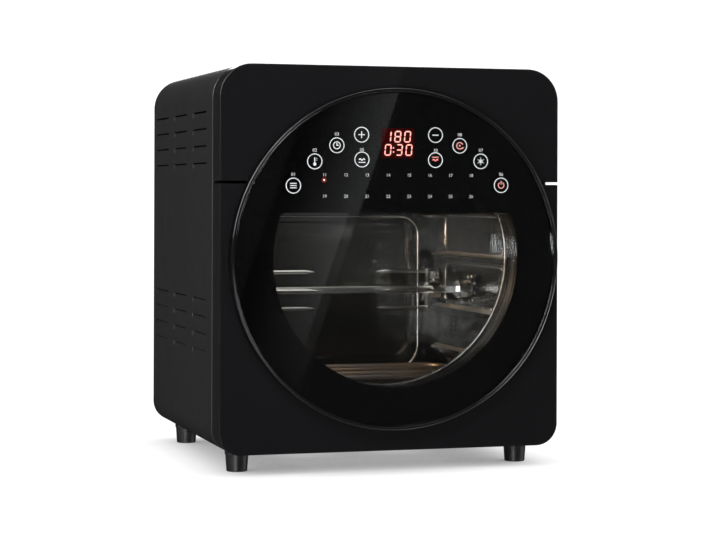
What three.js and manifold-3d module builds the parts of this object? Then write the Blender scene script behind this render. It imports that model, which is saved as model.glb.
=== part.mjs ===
// Air fryer oven: a steel casing on four feet, with an upper fascia and a drop-down front
// door that carries a round glass disc. Millimetres, +Z up, and the front faces -Y.
// The origin lies on the surface that the feet stand on, under the middle of the depth.

import * as THREE from "three";
import { mergeVertices } from "three/addons/utils/BufferGeometryUtils.js";
import Module from "manifold-3d";

const wasm = await Module();
wasm.setup();

// Overall size
const bodyWidth = 325;
const bodyHeight = 352;
const footHeight = 19;
const frontDepth = 30;
const casingDepth = 273;
const topRadius = 30;
const bottomRadius = 20.5;

// Front: heights are measured up from the underside of the body
const seamRise = 244;
const seamGap = 2.4;
const discSideGap = 7;
const discRadius = bodyWidth / 2 - discSideGap;
const discProud = 17.3;
const discRise = 175.7;
const windowShare = 0.7492;
const windowTopShare = 0.2707;
const windowRadius = discRadius * windowShare;
const windowTop = discRadius * windowTopShare;
const windowCorner = 6;

// Oven cavity
const sideSpace = 31.5;
const cavityWidth = bodyWidth - 2 * sideSpace;
const cavityHeight = 194;
const cavityDepth = 250;
const cavityRise = 37;
const cavityCorner = 12;
const spitRise = 103;

// Walls and clearances
const sheet = 1;
const plasticWall = 2.5;
const seat = 0.3;
const doorGap = 0.5;
const overrun = 1;
const glandReach = 8;

// Facets
const cornerSteps = 5;
const discSteps = 44;
const windowSteps = 18;
const roundSides = 16;
const potSides = 20;
const smallSides = 8;
const wireSides = 6;
const bendSteps = 3;
const edgeSteps = 1;
const weld = 1e-4;

// Places that several pieces share
const totalDepth = discProud + frontDepth + casingDepth + glandReach;
const frontY = discProud - totalDepth / 2;
const casingY = frontY + frontDepth;
const rearY = casingY + casingDepth;
const halfWidth = bodyWidth / 2;
const baseZ = footHeight;
const topZ = baseZ + bodyHeight;
const seamZ = baseZ + seamRise;
const discZ = baseZ + discRise;
const cavityHalf = cavityWidth / 2;
const floorZ = baseZ + cavityRise;
const ceilingZ = floorZ + cavityHeight;
const cavityBack = casingY + cavityDepth;
const cavityMidY = casingY + cavityDepth / 2;
const spitZ = floorZ + spitRise;
const doorDepth = frontDepth - doorGap;
const hingeInset = doorDepth / 2;
const hingeY = frontY + hingeInset;
const hingeZ = baseZ + hingeInset;
const sides = [
  { name: "left", sign: -1 },
  { name: "right", sign: 1 },
];

// Solids from three.js geometry

// A closed geometry as a solid that can be joined and cut.
function solidOf(geometry) {
  const bare = geometry.clone();
  bare.deleteAttribute("normal");
  bare.deleteAttribute("uv");
  const merged = mergeVertices(bare, weld);
  const corners = merged.index.array;
  const triVerts = [];
  for (let i = 0; i < corners.length; i += 3) {
    const [a, b, c] = corners.slice(i, i + 3);
    if (a !== b && b !== c && c !== a) triVerts.push(a, b, c);
  }
  const vertProperties = merged.attributes.position.array;
  const build = (tris) =>
    new wasm.Manifold(new wasm.Mesh({ numProp: 3, vertProperties, triVerts: Uint32Array.from(tris) }));
  const made = build(triVerts);
  return made.volume() < 0 ? build(triVerts.reverse()) : made;
}

// A solid's mesh as a flat-shaded geometry.
function geometryOf(solid) {
  const mesh = solid.getMesh();
  const indexed = new THREE.BufferGeometry();
  indexed.setAttribute("position", new THREE.BufferAttribute(mesh.vertProperties, mesh.numProp));
  indexed.setIndex(new THREE.BufferAttribute(mesh.triVerts, 1));
  const geometry = indexed.toNonIndexed();
  geometry.computeVertexNormals();
  return geometry;
}

const join = (...solids) => solids.flat().reduce((whole, next) => whole.add(next));
const cut = (whole, ...tools) => tools.flat().reduce((left, tool) => left.subtract(tool), whole);

// Points of an arc between two angles in degrees.
function arc(cx, cy, radius, from, to, steps) {
  const turn = THREE.MathUtils.degToRad(to - from) / steps;
  const start = THREE.MathUtils.degToRad(from);
  return Array.from({ length: steps + 1 }, (_, i) => {
    const angle = start + i * turn;
    return new THREE.Vector2(cx + radius * Math.cos(angle), cy + radius * Math.sin(angle));
  });
}

// A rectangle with one radius on its two low corners and one on its two high corners.
function roundedOutline(x0, x1, y0, y1, low, high = low, steps = bendSteps) {
  return [
    ...arc(x0 + low, y0 + low, low, 180, 270, steps),
    ...arc(x1 - low, y0 + low, low, 270, 360, steps),
    ...arc(x1 - high, y1 - high, high, 0, 90, steps),
    ...arc(x0 + high, y1 - high, high, 90, 180, steps),
  ];
}

const outline = (...pairs) => pairs.map(([a, b]) => new THREE.Vector2(a, b));

// An outline in X and Z, extruded from y0 to y1.
function alongY(points, y0, y1) {
  const settings = { depth: y1 - y0, bevelEnabled: false };
  const geometry = new THREE.ExtrudeGeometry(new THREE.Shape(points), settings);
  geometry.rotateX(Math.PI / 2);
  geometry.translate(0, y1, 0);
  return solidOf(geometry);
}

// An outline in Y and Z, extruded from x0 to x1.
function alongX(points, x0, x1) {
  const settings = { depth: x1 - x0, bevelEnabled: false };
  const geometry = new THREE.ExtrudeGeometry(new THREE.Shape(points), settings);
  const [x, y, z] = [0, 1, 2].map((i) => new THREE.Vector3().setComponent(i, 1));
  geometry.applyMatrix4(new THREE.Matrix4().makeBasis(y, z, x));
  geometry.translate(x0, 0, 0);
  return solidOf(geometry);
}

// An outline in X and Y, extruded from z0 to z1.
function alongZ(points, z0, z1) {
  const settings = { depth: z1 - z0, bevelEnabled: false };
  const geometry = new THREE.ExtrudeGeometry(new THREE.Shape(points), settings);
  geometry.translate(0, 0, z0);
  return solidOf(geometry);
}

function box(x0, x1, y0, y1, z0, z1) {
  const geometry = new THREE.BoxGeometry(Math.abs(x1 - x0), Math.abs(y1 - y0), Math.abs(z1 - z0));
  geometry.translate((x0 + x1) / 2, (y0 + y1) / 2, (z0 + z1) / 2);
  return solidOf(geometry);
}

// Turns a geometry made along Y so that its length runs along another axis.
function turnTo(axis, geometry) {
  if (axis === "x") geometry.rotateZ(-Math.PI / 2);
  if (axis === "z") geometry.rotateX(Math.PI / 2);
  return geometry;
}

// A round rod from low to high on its axis. a and b are its other two places, in X, Y, Z order.
function rod(axis, radius, low, high, a, b, segments = roundSides) {
  const length = Math.abs(high - low);
  const geometry = turnTo(axis, new THREE.CylinderGeometry(radius, radius, length, segments));
  const middle = (low + high) / 2;
  if (axis === "x") geometry.translate(middle, a, b);
  if (axis === "y") geometry.translate(a, middle, b);
  if (axis === "z") geometry.translate(a, b, middle);
  return solidOf(geometry);
}

// A profile of [radius, height] pairs turned about an axis.
function revolve(axis, profile, a, b, segments = roundSides) {
  const geometry = turnTo(axis, new THREE.LatheGeometry(outline(...profile), segments));
  if (axis === "x") geometry.translate(0, a, b);
  if (axis === "y") geometry.translate(a, 0, b);
  if (axis === "z") geometry.translate(a, b, 0);
  return solidOf(geometry);
}

// A path through listed points, one step from each point to the next.
class WirePath extends THREE.Curve {
  constructor(points) {
    super();
    this.points = points;
  }
  getPoint(t, target = new THREE.Vector3()) {
    const place = Math.min(Math.max(t, 0), 1) * (this.points.length - 1);
    const before = Math.min(Math.floor(place), this.points.length - 2);
    return target.lerpVectors(this.points[before], this.points[before + 1], place - before);
  }
  getPointAt(u, target) {
    return this.getPoint(u, target);
  }
  getTangentAt(u, target) {
    return this.getTangent(u, target);
  }
}

// Rounds each sharp corner of a list of points with a bend of the given radius.
const sharpTurn = Math.PI / 6;
function bend(corners, radius) {
  return corners.flatMap((corner, i) => {
    if (i === 0 || i === corners.length - 1) return [corner];
    const back = corners[i - 1].clone().sub(corner).normalize();
    const ahead = corners[i + 1].clone().sub(corner).normalize();
    const inside = back.angleTo(ahead);
    const turn = Math.PI - inside;
    if (turn < sharpTurn) return [corner];
    const reach = radius / Math.tan(inside / 2);
    const centre = back.clone().add(ahead).normalize();
    centre.multiplyScalar(radius / Math.sin(inside / 2)).add(corner);
    const from = back.multiplyScalar(reach).add(corner).sub(centre);
    const to = ahead.multiplyScalar(reach).add(corner).sub(centre);
    return Array.from({ length: bendSteps + 1 }, (_, k) => {
      const share = k / bendSteps;
      const first = from.clone().multiplyScalar(Math.sin((1 - share) * turn) / Math.sin(turn));
      const second = to.clone().multiplyScalar(Math.sin(share * turn) / Math.sin(turn));
      return first.add(second).add(centre);
    });
  });
}

// A round wire along a list of points.
function wire(points, radius) {
  const path = new WirePath(points);
  const section = new THREE.Shape(arc(0, 0, radius, 0, 360, wireSides).slice(1));
  const settings = { steps: points.length - 1, extrudePath: path, bevelEnabled: false };
  return solidOf(new THREE.ExtrudeGeometry(section, settings));
}

// Outlines that several pieces share

// The front view of the whole body, drawn in by an inset.
function bodyOutline(inset) {
  const edge = halfWidth - inset;
  const low = bottomRadius - inset;
  const high = topRadius - inset;
  return roundedOutline(-edge, edge, baseZ + inset, topZ - inset, low, high, cornerSteps);
}

// The front view of the oven cavity, grown outwards.
function cavityOutline(grow) {
  const edge = cavityHalf + grow;
  return roundedOutline(-edge, edge, floorZ - grow, ceilingZ + grow, cavityCorner + grow);
}

// The window: a circle cut by a flat top edge, with rounded corners, grown outwards.
function windowOutline(grow) {
  const radius = windowRadius + grow;
  const top = windowTop + grow;
  const corner = windowCorner + grow;
  const cornerX = Math.sqrt((radius - corner) ** 2 - (top - corner) ** 2);
  const cornerZ = discZ + top - corner;
  const lift = THREE.MathUtils.radToDeg(Math.atan2(top - corner, cornerX));
  return [
    ...arc(-cornerX, cornerZ, corner, 90, 180 - lift, bendSteps),
    ...arc(0, discZ, radius, 180 - lift, 360 + lift, windowSteps).slice(1, -1),
    ...arc(cornerX, cornerZ, corner, lift, 90, bendSteps),
  ];
}

// The top of the disc above the window, as a circle cut by a flat lower edge.
function upperDiscOutline(radius, low) {
  const lift = THREE.MathUtils.radToDeg(Math.asin(low / radius));
  return arc(0, discZ, radius, lift, 180 - lift, windowSteps / 2);
}

// The finished part, filled piece by piece
const oven = new THREE.Group();

function finish(color, roughness, metalness) {
  return new THREE.MeshStandardMaterial({ color, roughness, metalness });
}

const coatedSteel = finish(0x2f3032, 0.55, 0.4);
const glossPlastic = finish(0x141416, 0.3, 0);
const discGloss = finish(0x0b0b0d, 0.12, 0);
const plainSteel = finish(0x8d8f92, 0.4, 0.9);
const brightSteel = finish(0xb6b8bb, 0.28, 1);
const heaterSteel = finish(0x5d5955, 0.5, 0.8);
const aluminium = finish(0xa9abad, 0.4, 0.9);
const clearGlass = finish(0x1c1e20, 0.05, 0);
const silicone = finish(0x3a3a3c, 0.85, 0);
const boardGreen = finish(0x1f5a35, 0.6, 0);
const darkPlastic = finish(0x1d1d1f, 0.7, 0);
const motorCopper = finish(0x8a5a34, 0.45, 0.6);
const ceramic = finish(0xded9cf, 0.6, 0);
const displayRed = finish(0x3a0606, 0.4, 0);

function add(name, shape, material, place = new THREE.Vector3()) {
  const geometry = shape.isBufferGeometry ? shape : geometryOf(shape);
  const mesh = new THREE.Mesh(geometry, material);
  mesh.name = name;
  mesh.position.copy(place);
  oven.add(mesh);
}

// Feet: tapered plugs whose stems pass through the casing's flange and the base plate
const footTopRadius = 11.2;
const footBottomRadius = 9.6;
const footEdge = 0.8;
const footSideInset = 26.5;
const footSpread = halfWidth - footSideInset;
const footFrontInset = 12;
const footRearInset = 39;
const footStemRadius = 3.8;
const footStemReach = 3;
const footStemGap = 0.5;
const footPlaces = [
  { name: "front", y: casingY + footFrontInset },
  { name: "rear", y: rearY - footRearInset },
];

function foot() {
  const stemTop = baseZ + 2 * (sheet + seat) + footStemReach;
  const profile = [
    [0, 0],
    [footBottomRadius - footEdge, 0],
    [footBottomRadius, footEdge],
    [footTopRadius, baseZ - seat],
    [footStemRadius, baseZ - seat],
    [footStemRadius, stemTop],
    [0, stemTop],
  ];
  return revolve("z", profile, 0, 0, 2 * wireSides);
}

// Holes for the stems of all four feet.
function footHoles() {
  const radius = footStemRadius + footStemGap;
  return sides.flatMap(({ sign }) =>
    footPlaces.map(({ y }) => rod("z", radius, 0, floorZ, sign * footSpread, y, smallSides)),
  );
}

// Casing: one bent sheet with open ends, flanges under the body and round the rear
const bottomFlange = 22;
const rearFlange = 12;
const rearRecess = 3;
const louvreLength = 60;
const louvreHeight = 6.3;
const louvreDepth = 4;
const louvrePitch = 15.8;
const louvreRows = 4;
const louvreColumns = 3;
const louvreColumnPitch = 87;
const louvreFirst = 85;
const louvreHighRise = 311;
const louvreLowRise = 137.5;
const louvreLap = 0.5;
const rearPanelY = rearY - rearRecess - sheet;
const rearFlangeY = rearPanelY - seat - sheet;

// The middle and the upper edge of every louvre on one side.
function louvrePlaces() {
  const places = [];
  for (const rise of [louvreHighRise, louvreLowRise])
    for (let row = 0; row < louvreRows; row += 1)
      for (let column = 0; column < louvreColumns; column += 1)
        places.push({
          y: frontY + louvreFirst + column * louvreColumnPitch,
          top: baseZ + rise - row * louvrePitch,
        });
  return places;
}

// The wedge of sheet that one louvre pushes into the body.
function louvreScoop(sign, { y, top }) {
  const low = top - louvreHeight;
  const face = sign * (halfWidth - sheet / 2);
  const inner = sign * (halfWidth - louvreDepth - sheet);
  const reach = louvreLength / 2 + sheet;
  return alongY(outline([face, low - louvreLap], [inner, top], [face, top]), y - reach, y + reach);
}

// The hollow of one louvre, open to the outside and along its upper edge.
function louvreHollow(sign, { y, top }) {
  const low = top - louvreHeight;
  const outside = sign * (halfWidth + overrun);
  const face = sign * halfWidth;
  const inner = sign * (halfWidth - louvreDepth);
  const reach = louvreLength / 2;
  const points = outline([outside, low], [face, low], [inner, top], [outside, top]);
  return alongY(points, y - reach, y + reach);
}

function outerShell() {
  const skin = alongY(bodyOutline(0), casingY, rearY);
  const inside = alongY(bodyOutline(sheet), casingY - overrun, rearY + overrun);
  const flange = alongY(bodyOutline(sheet / 2), rearFlangeY, rearFlangeY + sheet);
  const flangeHole = alongY(bodyOutline(sheet + rearFlange), casingY, rearY);
  const open = halfWidth - bottomRadius - bottomFlange;
  const gap = box(-open, open, casingY - overrun, rearY + overrun, baseZ - overrun, baseZ + sheet);
  const places = louvrePlaces();
  const scoops = sides.flatMap(({ sign }) => places.map((place) => louvreScoop(sign, place)));
  const hollows = sides.flatMap(({ sign }) => places.map((place) => louvreHollow(sign, place)));
  const wrap = join(cut(skin, inside), cut(flange, flangeHole), scoops);
  return cut(wrap, gap, hollows, footHoles());
}

// Base plate: lies on the casing's bottom flanges, with rows of air slots
const frameReturn = 5;
const baseSlotLength = 34;
const baseSlotWidth = 4;
const baseSlotPitch = 14;
const baseSlotRows = 4;
const baseSlotSpread = 48;

function slot(x, y, length, width) {
  const [reach, half] = [length / 2, width / 2];
  return roundedOutline(x - reach, x + reach, y - half, y + half, half, half, edgeSteps);
}

function basePlate() {
  const edge = halfWidth - bottomRadius;
  const low = baseZ + sheet + seat;
  const front = casingY + frameReturn + seat;
  const plate = box(-edge, edge, front, rearFlangeY - seat, low, low + sheet);
  const start = cavityMidY - ((baseSlotRows - 1) * baseSlotPitch) / 2;
  const slots = sides.flatMap(({ sign }) =>
    Array.from({ length: baseSlotRows }, (_, row) => {
      const points = slot(sign * baseSlotSpread, start + row * baseSlotPitch, baseSlotLength, baseSlotWidth);
      return alongZ(points, low - overrun, low + sheet + overrun);
    }),
  );
  return cut(plate, slots, footHoles());
}

// Rear panel: recessed into the casing, with two blocks of vents and a hole for the gland
const ventLength = 52;
const ventWidth = 3.6;
const ventPitch = 10;
const ventRows = 5;
const ventSpread = 36;
const ventTopRise = 318;
const glandSideInset = 50.5;
const glandX = halfWidth - glandSideInset;
const glandRise = 34;
const glandRadius = 9;
const glandNeck = 6;
const glandBore = 3.6;
const rearScrewInset = 7;
const rearScrewRadius = 1.6;

// Places of the screws round the rear panel, in X and Z.
function rearScrewPlaces() {
  const edge = halfWidth - sheet - rearScrewInset;
  const low = baseZ + sheet + rearScrewInset;
  const high = topZ - sheet - rearScrewInset;
  const middle = (low + high) / 2;
  const inner = edge / 2;
  return sides.flatMap(({ sign }) => [
    [sign * inner, low],
    [sign * inner, high],
    [sign * edge, middle - inner],
    [sign * edge, middle + inner],
  ]);
}

function rearScrewHoles(radius) {
  const [low, high] = [rearFlangeY - overrun, rearPanelY + sheet + overrun];
  return rearScrewPlaces().map(([x, z]) => rod("y", radius, low, high, x, z, wireSides));
}

function rearPanel() {
  const plate = alongY(bodyOutline(sheet + seat), rearPanelY, rearPanelY + sheet);
  const vents = sides.flatMap(({ sign }) =>
    Array.from({ length: ventRows }, (_, row) => {
      const points = slot(sign * ventSpread, baseZ + ventTopRise - row * ventPitch, ventLength, ventWidth);
      return alongY(points, rearPanelY - overrun, rearPanelY + sheet + overrun);
    }),
  );
  const hole = rod("y", glandNeck + seat, rearPanelY - overrun, rearY, glandX, baseZ + glandRise);
  return cut(plate, vents, hole, rearScrewHoles(rearScrewRadius + seat));
}

// Cord gland: a grooved bush in the rear panel, with its bore left empty
function cordGland() {
  const inner = rearPanelY - seat;
  const outer = rearPanelY + sheet + seat;
  const end = rearY + glandReach;
  const profile = [
    [glandBore, inner - plasticWall],
    [glandRadius, inner - plasticWall],
    [glandRadius, inner],
    [glandNeck, inner],
    [glandNeck, outer],
    [glandRadius, outer],
    [glandRadius, outer + plasticWall],
    [glandNeck, end],
    [glandBore, end],
    [glandBore, inner - plasticWall],
  ];
  return revolve("y", profile, glandX, baseZ + glandRise, smallSides);
}

// Front frame: a sheet behind the door and the fascia, with the mouth of the cavity
const earThickness = 2.5;
const earSideInset = 32.5;
const earX = halfWidth - earSideInset;
const earRadius = 7;
const earGap = 0.5;

function frontFrame() {
  const plate = alongY(bodyOutline(sheet + seat), casingY, casingY + frameReturn);
  const hollow = alongY(bodyOutline(2 * sheet + seat), casingY + sheet, casingY + frameReturn + overrun);
  const mouth = alongY(cavityOutline(0), casingY - overrun, casingY + frameReturn);
  const slots = sides.map(({ sign }) => {
    const reach = earThickness / 2 + earGap;
    const x = sign * earX;
    const height = earRadius + earGap;
    const [front, back] = [casingY - overrun, casingY + sheet + overrun];
    return box(x - reach, x + reach, front, back, hingeZ - height, hingeZ + height);
  });
  return cut(plate, hollow, mouth, slots);
}

// Upper fascia: a hollow moulding above the seam, open to the rear, with screw bosses
const fasciaBossRadius = 4;
const fasciaBossBore = 1.5;
const fasciaBossInset = 22;
const fasciaBossLength = 10;

function upperFascia() {
  const low = seamZ + seamGap;
  const back = casingY - seat;
  const trimLow = (height) => box(-bodyWidth, bodyWidth, frontY - overrun, casingY, 0, height);
  const skin = cut(alongY(bodyOutline(0), frontY, back), trimLow(low));
  const inside = alongY(bodyOutline(plasticWall), frontY + plasticWall, back + overrun);
  const hollow = cut(inside, trimLow(low + plasticWall));
  const shell = cut(skin, hollow);
  const places = sides.flatMap(({ sign }) => [
    [sign * (halfWidth - fasciaBossInset), topZ - fasciaBossInset],
    [sign * (halfWidth - fasciaBossInset), low + fasciaBossInset],
  ]);
  const root = frontY + plasticWall / 2;
  const tip = back - fasciaBossLength;
  const bosses = places.map(([x, z]) => rod("y", fasciaBossRadius, root, back, x, z, smallSides));
  const bores = places.map(([x, z]) => rod("y", fasciaBossBore, tip, casingY, x, z, wireSides));
  return cut(join(shell, bosses), bores);
}

// Oven liner: a folded wrap with pressed shelf ledges and a round opening for the fan
const linerFlange = 9;
const ledgeDepth = 6;
const ledgeHeight = 5;
const ledgeSlope = 3;
const ledgeInset = 22;
const lowHeaterRise = 21;
const lowLedgeGap = 15;
const lowLedge = lowHeaterRise + lowLedgeGap;
const midLedge = 78.5;
const highLedge = 133;
const backEmboss = 3;
const backEmbossInset = 26;
const backEmbossRadius = 18;
const chamberShare = 0.687;
const chamberRadius = cavityHalf * chamberShare;
const fanOpeningLap = 2;
const fanOpening = chamberRadius - fanOpeningLap;
const driveHoleRadius = 7;
const lampHoleRadius = 14;
const lampInset = 62;
const probeRadius = 2.5;
const probeRise = 176;
const probeInset = 60;
const linerY = casingY + sheet + seat;
const lampY = cavityBack - lampInset;
const highLedgeTop = highLedge + ledgeHeight / 2 + ledgeSlope;
const lampZ = floorZ + (highLedgeTop + cavityHeight - cavityCorner) / 2;
const probeY = cavityBack - probeInset;
const probeZ = floorZ + probeRise;

// Lower heater: a tube that runs to and fro above the tray and leaves through the left wall
const heaterRadius = 3.25;
const lowHeaterPitch = 42;
const lowHeaterSideGap = 35;
const lowHeaterReach = cavityHalf - lowHeaterSideGap;
const lowHeaterTerminal = 12;
const lowHeaterStraight = 1;
const lowHeaterZ = floorZ + lowHeaterRise;

// Air holes in the right wall, set out as a diamond
const airHoleRadius = 2;
const airHolePitch = 7;
const airHoleRise = 60;
const airHoleY = cavityMidY + 52;
const airHoleCount = 3;

// A shelf ledge on one wall. A negative grow gives the hollow behind its sheet.
function ledge(sign, rise, grow) {
  const foot = grow < 0 ? overrun : -sheet / 2;
  const wall = sign * (cavityHalf + sheet + foot);
  const tip = sign * (cavityHalf - ledgeDepth - grow);
  const z = floorZ + rise;
  const half = ledgeHeight / 2 + grow;
  const spread = half + ledgeSlope;
  const points = outline([wall, z - spread], [tip, z - half], [tip, z + half], [wall, z + spread]);
  return alongY(points, casingY + ledgeInset - grow, cavityBack - ledgeInset + grow);
}

function lowHeaterEnds() {
  const reach = 1.5 * lowHeaterPitch;
  return [cavityMidY - reach, cavityMidY + reach];
}

function airHoles() {
  const middle = (airHoleCount - 1) / 2;
  const holes = [];
  for (let i = 0; i < airHoleCount; i += 1)
    for (let j = 0; j < airHoleCount; j += 1) {
      const along = ((i - middle) + (j - middle)) * airHolePitch * Math.SQRT1_2;
      const up = ((i - middle) - (j - middle)) * airHolePitch * Math.SQRT1_2;
      const [low, high] = [cavityHalf - overrun, cavityHalf + sheet + overrun];
      holes.push(rod("x", airHoleRadius, low, high, airHoleY + along, floorZ + airHoleRise + up, wireSides));
    }
  return holes;
}

function ovenLiner() {
  const tub = alongY(cavityOutline(sheet), linerY, cavityBack);
  const rim = alongY(cavityOutline(linerFlange), linerY, linerY + sheet);
  const inside = alongY(cavityOutline(0), linerY - overrun, cavityBack + overrun);
  const walls = sides.flatMap(({ sign }) => [lowLedge, midLedge, highLedge].map((rise) => [sign, rise]));
  const skins = walls.map(([sign, rise]) => ledge(sign, rise, 0));
  const hollows = walls.map(([sign, rise]) => ledge(sign, rise, -sheet));
  const outside = cavityHalf + sheet + overrun;
  const inner = cavityHalf - overrun;
  const [underCeiling, overCeiling] = [ceilingZ - overrun, ceilingZ + sheet + overrun];
  const fan = rod("z", fanOpening, underCeiling, overCeiling, 0, cavityMidY, potSides);
  const drive = rod("x", driveHoleRadius, inner, outside, cavityMidY, spitZ, smallSides);
  const lamp = rod("x", lampHoleRadius, -outside, -inner, lampY, lampZ);
  const probe = rod("x", probeRadius + seat, inner, outside, probeY, probeZ, smallSides);
  const ends = lowHeaterEnds().map((y) =>
    rod("x", heaterRadius + seat, -outside, -inner, y, lowHeaterZ, smallSides),
  );
  const shell = cut(join(cut(join(tub, rim), inside), skins), hollows);
  return cut(shell, fan, drive, lamp, probe, ends, airHoles());
}

// Liner back: a plate with an embossed panel that closes the liner
function linerBack() {
  const front = cavityBack + seat;
  const back = front + sheet;
  const panel = (grow) => {
    const inset = backEmbossInset - grow;
    const edge = cavityHalf - inset;
    const radius = backEmbossRadius + grow;
    return roundedOutline(-edge, edge, floorZ + inset, ceilingZ - inset, radius);
  };
  const plate = alongY(cavityOutline(sheet), front, back);
  const dish = alongY(panel(0), front, back + backEmboss);
  return cut(join(plate, dish), alongY(panel(-sheet), front - overrun, front + backEmboss));
}

// Drip tray: a shallow pan on the cavity floor with a turned-out front lip
const trayClearance = 3;
const trayHeight = 11;
const trayWall = 0.8;
const trayCorner = 8;
const traySlope = 4;
const trayLip = 7;
const trayFrontInset = 8;
const trayDepth = 226;

function dripTray() {
  const edge = cavityHalf - cavityCorner - trayClearance;
  const front = casingY + trayFrontInset;
  const low = floorZ + seat;
  const pan = (inset, lift) => {
    const points = outline(
      [-edge + traySlope + inset, low + lift],
      [edge - traySlope - inset, low + lift],
      [edge - inset, low + trayHeight + lift],
      [-edge + inset, low + trayHeight + lift],
    );
    return alongY(points, front + inset, front + trayDepth - inset);
  };
  const reach = edge + trayWall;
  const top = low + trayHeight;
  const rimOutline = roundedOutline(-reach, reach, front - trayLip, front + trayDepth + trayWall, trayCorner);
  const rim = alongZ(rimOutline, top - trayWall, top);
  return cut(join(pan(0, 0), rim), pan(trayWall, trayWall));
}

function bottomHeater() {
  const [first, last] = lowHeaterEnds();
  const end = -(cavityHalf + lowHeaterTerminal);
  const turn = lowHeaterPitch / 2;
  const rows = Math.round((last - first) / lowHeaterPitch);
  const corners = [new THREE.Vector3(end, first, lowHeaterZ)];
  for (let row = 0; row < rows; row += 1) {
    const x = (row % 2 ? -1 : 1) * (lowHeaterReach + turn);
    corners.push(new THREE.Vector3(x, first + row * lowHeaterPitch, lowHeaterZ));
    corners.push(new THREE.Vector3(x, first + (row + 1) * lowHeaterPitch, lowHeaterZ));
  }
  corners.push(new THREE.Vector3(end, last, lowHeaterZ));
  return wire(bend(corners, turn - lowHeaterStraight), heaterRadius);
}

// Heater supports: angle tabs on the right wall that carry the heater's bends
const supportThickness = 1.5;
const supportWidth = 16;
const supportReach = 22;
const supportLip = 4;

function heaterSupport(row) {
  const wall = cavityHalf - seat;
  const low = lowHeaterZ - heaterRadius - seat - supportThickness;
  const y = lowHeaterEnds()[0] + (row + 1 / 2) * lowHeaterPitch;
  const half = supportWidth / 2;
  const shelf = box(wall - supportReach, wall, y - half, y + half, low, low + supportThickness);
  const foot = box(wall - supportThickness, wall, y - half, y + half, low, lowHeaterZ + supportLip);
  return join(shelf, foot);
}

// Fan chamber: a pressed pot over the ceiling's opening, with the upper heater inside
const chamberFlange = 10;
const chamberHeight = 31;
const chamberZ = ceilingZ + sheet + seat;
const chamberTopZ = chamberZ + chamberHeight;
const shaftRadius = 4;
const shaftGap = 1.2;
const fanAxis = () => [0, cavityMidY];
const topHeaterGap = 14;
const topHeaterRing = chamberRadius - topHeaterGap;
const topHeaterRise = 16;
const topHeaterLeg = 18;
const topHeaterGapAngle = 16;
const topHeaterBend = 8;
const topHeaterSteps = 20;

// Points of the upper heater: down one leg, round the ring and up the other leg.
function topHeaterPoints() {
  const z = chamberZ + topHeaterRise;
  const top = chamberTopZ + topHeaterLeg;
  const half = topHeaterGapAngle / 2;
  const circle = arc(0, cavityMidY, topHeaterRing, 90 + half, 450 - half, topHeaterSteps);
  const ring = circle.map(({ x, y }) => new THREE.Vector3(x, y, z));
  const lift = (point) => point.clone().setZ(top);
  const inner = ring.slice(2, -2);
  const corners = [lift(ring[0]), ring[0], ...inner, ring[ring.length - 1], lift(ring[ring.length - 1])];
  return bend(corners, topHeaterBend);
}

function fanChamber() {
  const outer = chamberRadius + sheet;
  const profile = [
    [0, chamberTopZ - sheet],
    [chamberRadius, chamberTopZ - sheet],
    [chamberRadius, chamberZ],
    [outer + chamberFlange, chamberZ],
    [outer + chamberFlange, chamberZ + sheet],
    [outer, chamberZ + sheet],
    [outer, chamberTopZ],
    [0, chamberTopZ],
  ];
  const pot = revolve("z", profile, ...fanAxis(), potSides);
  const holes = [topHeaterPoints()[0], topHeaterPoints().at(-1)].map(({ x, y }) =>
    rod("z", heaterRadius + seat, chamberTopZ - 2 * sheet, chamberTopZ + overrun, x, y, smallSides),
  );
  const [under, over] = [chamberTopZ - 2 * sheet, chamberTopZ + overrun];
  const bore = rod("z", shaftRadius + shaftGap, under, over, ...fanAxis());
  return cut(pot, bore, holes);
}

const topHeater = () => wire(topHeaterPoints(), heaterRadius);

// Fan cover: a dished guard under the ceiling with three rings of radial slots
const coverLap = 7;
const coverEdge = 19;
const coverRadius = chamberRadius + coverLap;
const coverDishRadius = coverRadius - coverEdge;
const coverDish = 4;
const coverRings = 3;
const coverSlotWidth = 4;
const coverFirstRing = 14;
const coverSlotLength = 15;
const coverSlotMargin = 7;
const coverSpan = coverDishRadius - coverFirstRing - coverSlotLength - coverSlotMargin;
const coverRingPitch = coverSpan / (coverRings - 1);
const coverFirstCount = 6;
const coverCountStep = 3;
const coverZ = ceilingZ - seat - sheet;

function coverSlots() {
  const slots = [];
  for (let ring = 0; ring < coverRings; ring += 1) {
    const inner = coverFirstRing + ring * coverRingPitch;
    const count = coverFirstCount + ring * coverCountStep;
    for (let i = 0; i < count; i += 1) {
      const half = coverSlotWidth / 2;
      const end = inner + coverSlotLength;
      const points = outline([inner, -half], [end, -half], [end, half], [inner, half]);
      const turn = (i * 2 * Math.PI) / count;
      const centre = new THREE.Vector2(...fanAxis());
      const placed = points.map((point) => point.rotateAround(new THREE.Vector2(), turn).add(centre));
      slots.push(alongZ(placed, coverZ - coverDish - overrun, coverZ + sheet + overrun));
    }
  }
  return slots;
}

function fanCover() {
  const profile = [
    [0, coverZ - coverDish],
    [coverDishRadius, coverZ - coverDish],
    [coverDishRadius + coverDish, coverZ],
    [coverRadius, coverZ],
    [coverRadius, coverZ + sheet],
    [coverDishRadius + coverDish - sheet, coverZ + sheet],
    [coverDishRadius - sheet, coverZ - coverDish + sheet],
    [0, coverZ - coverDish + sheet],
  ];
  return cut(revolve("z", profile, ...fanAxis(), potSides), coverSlots());
}

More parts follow.
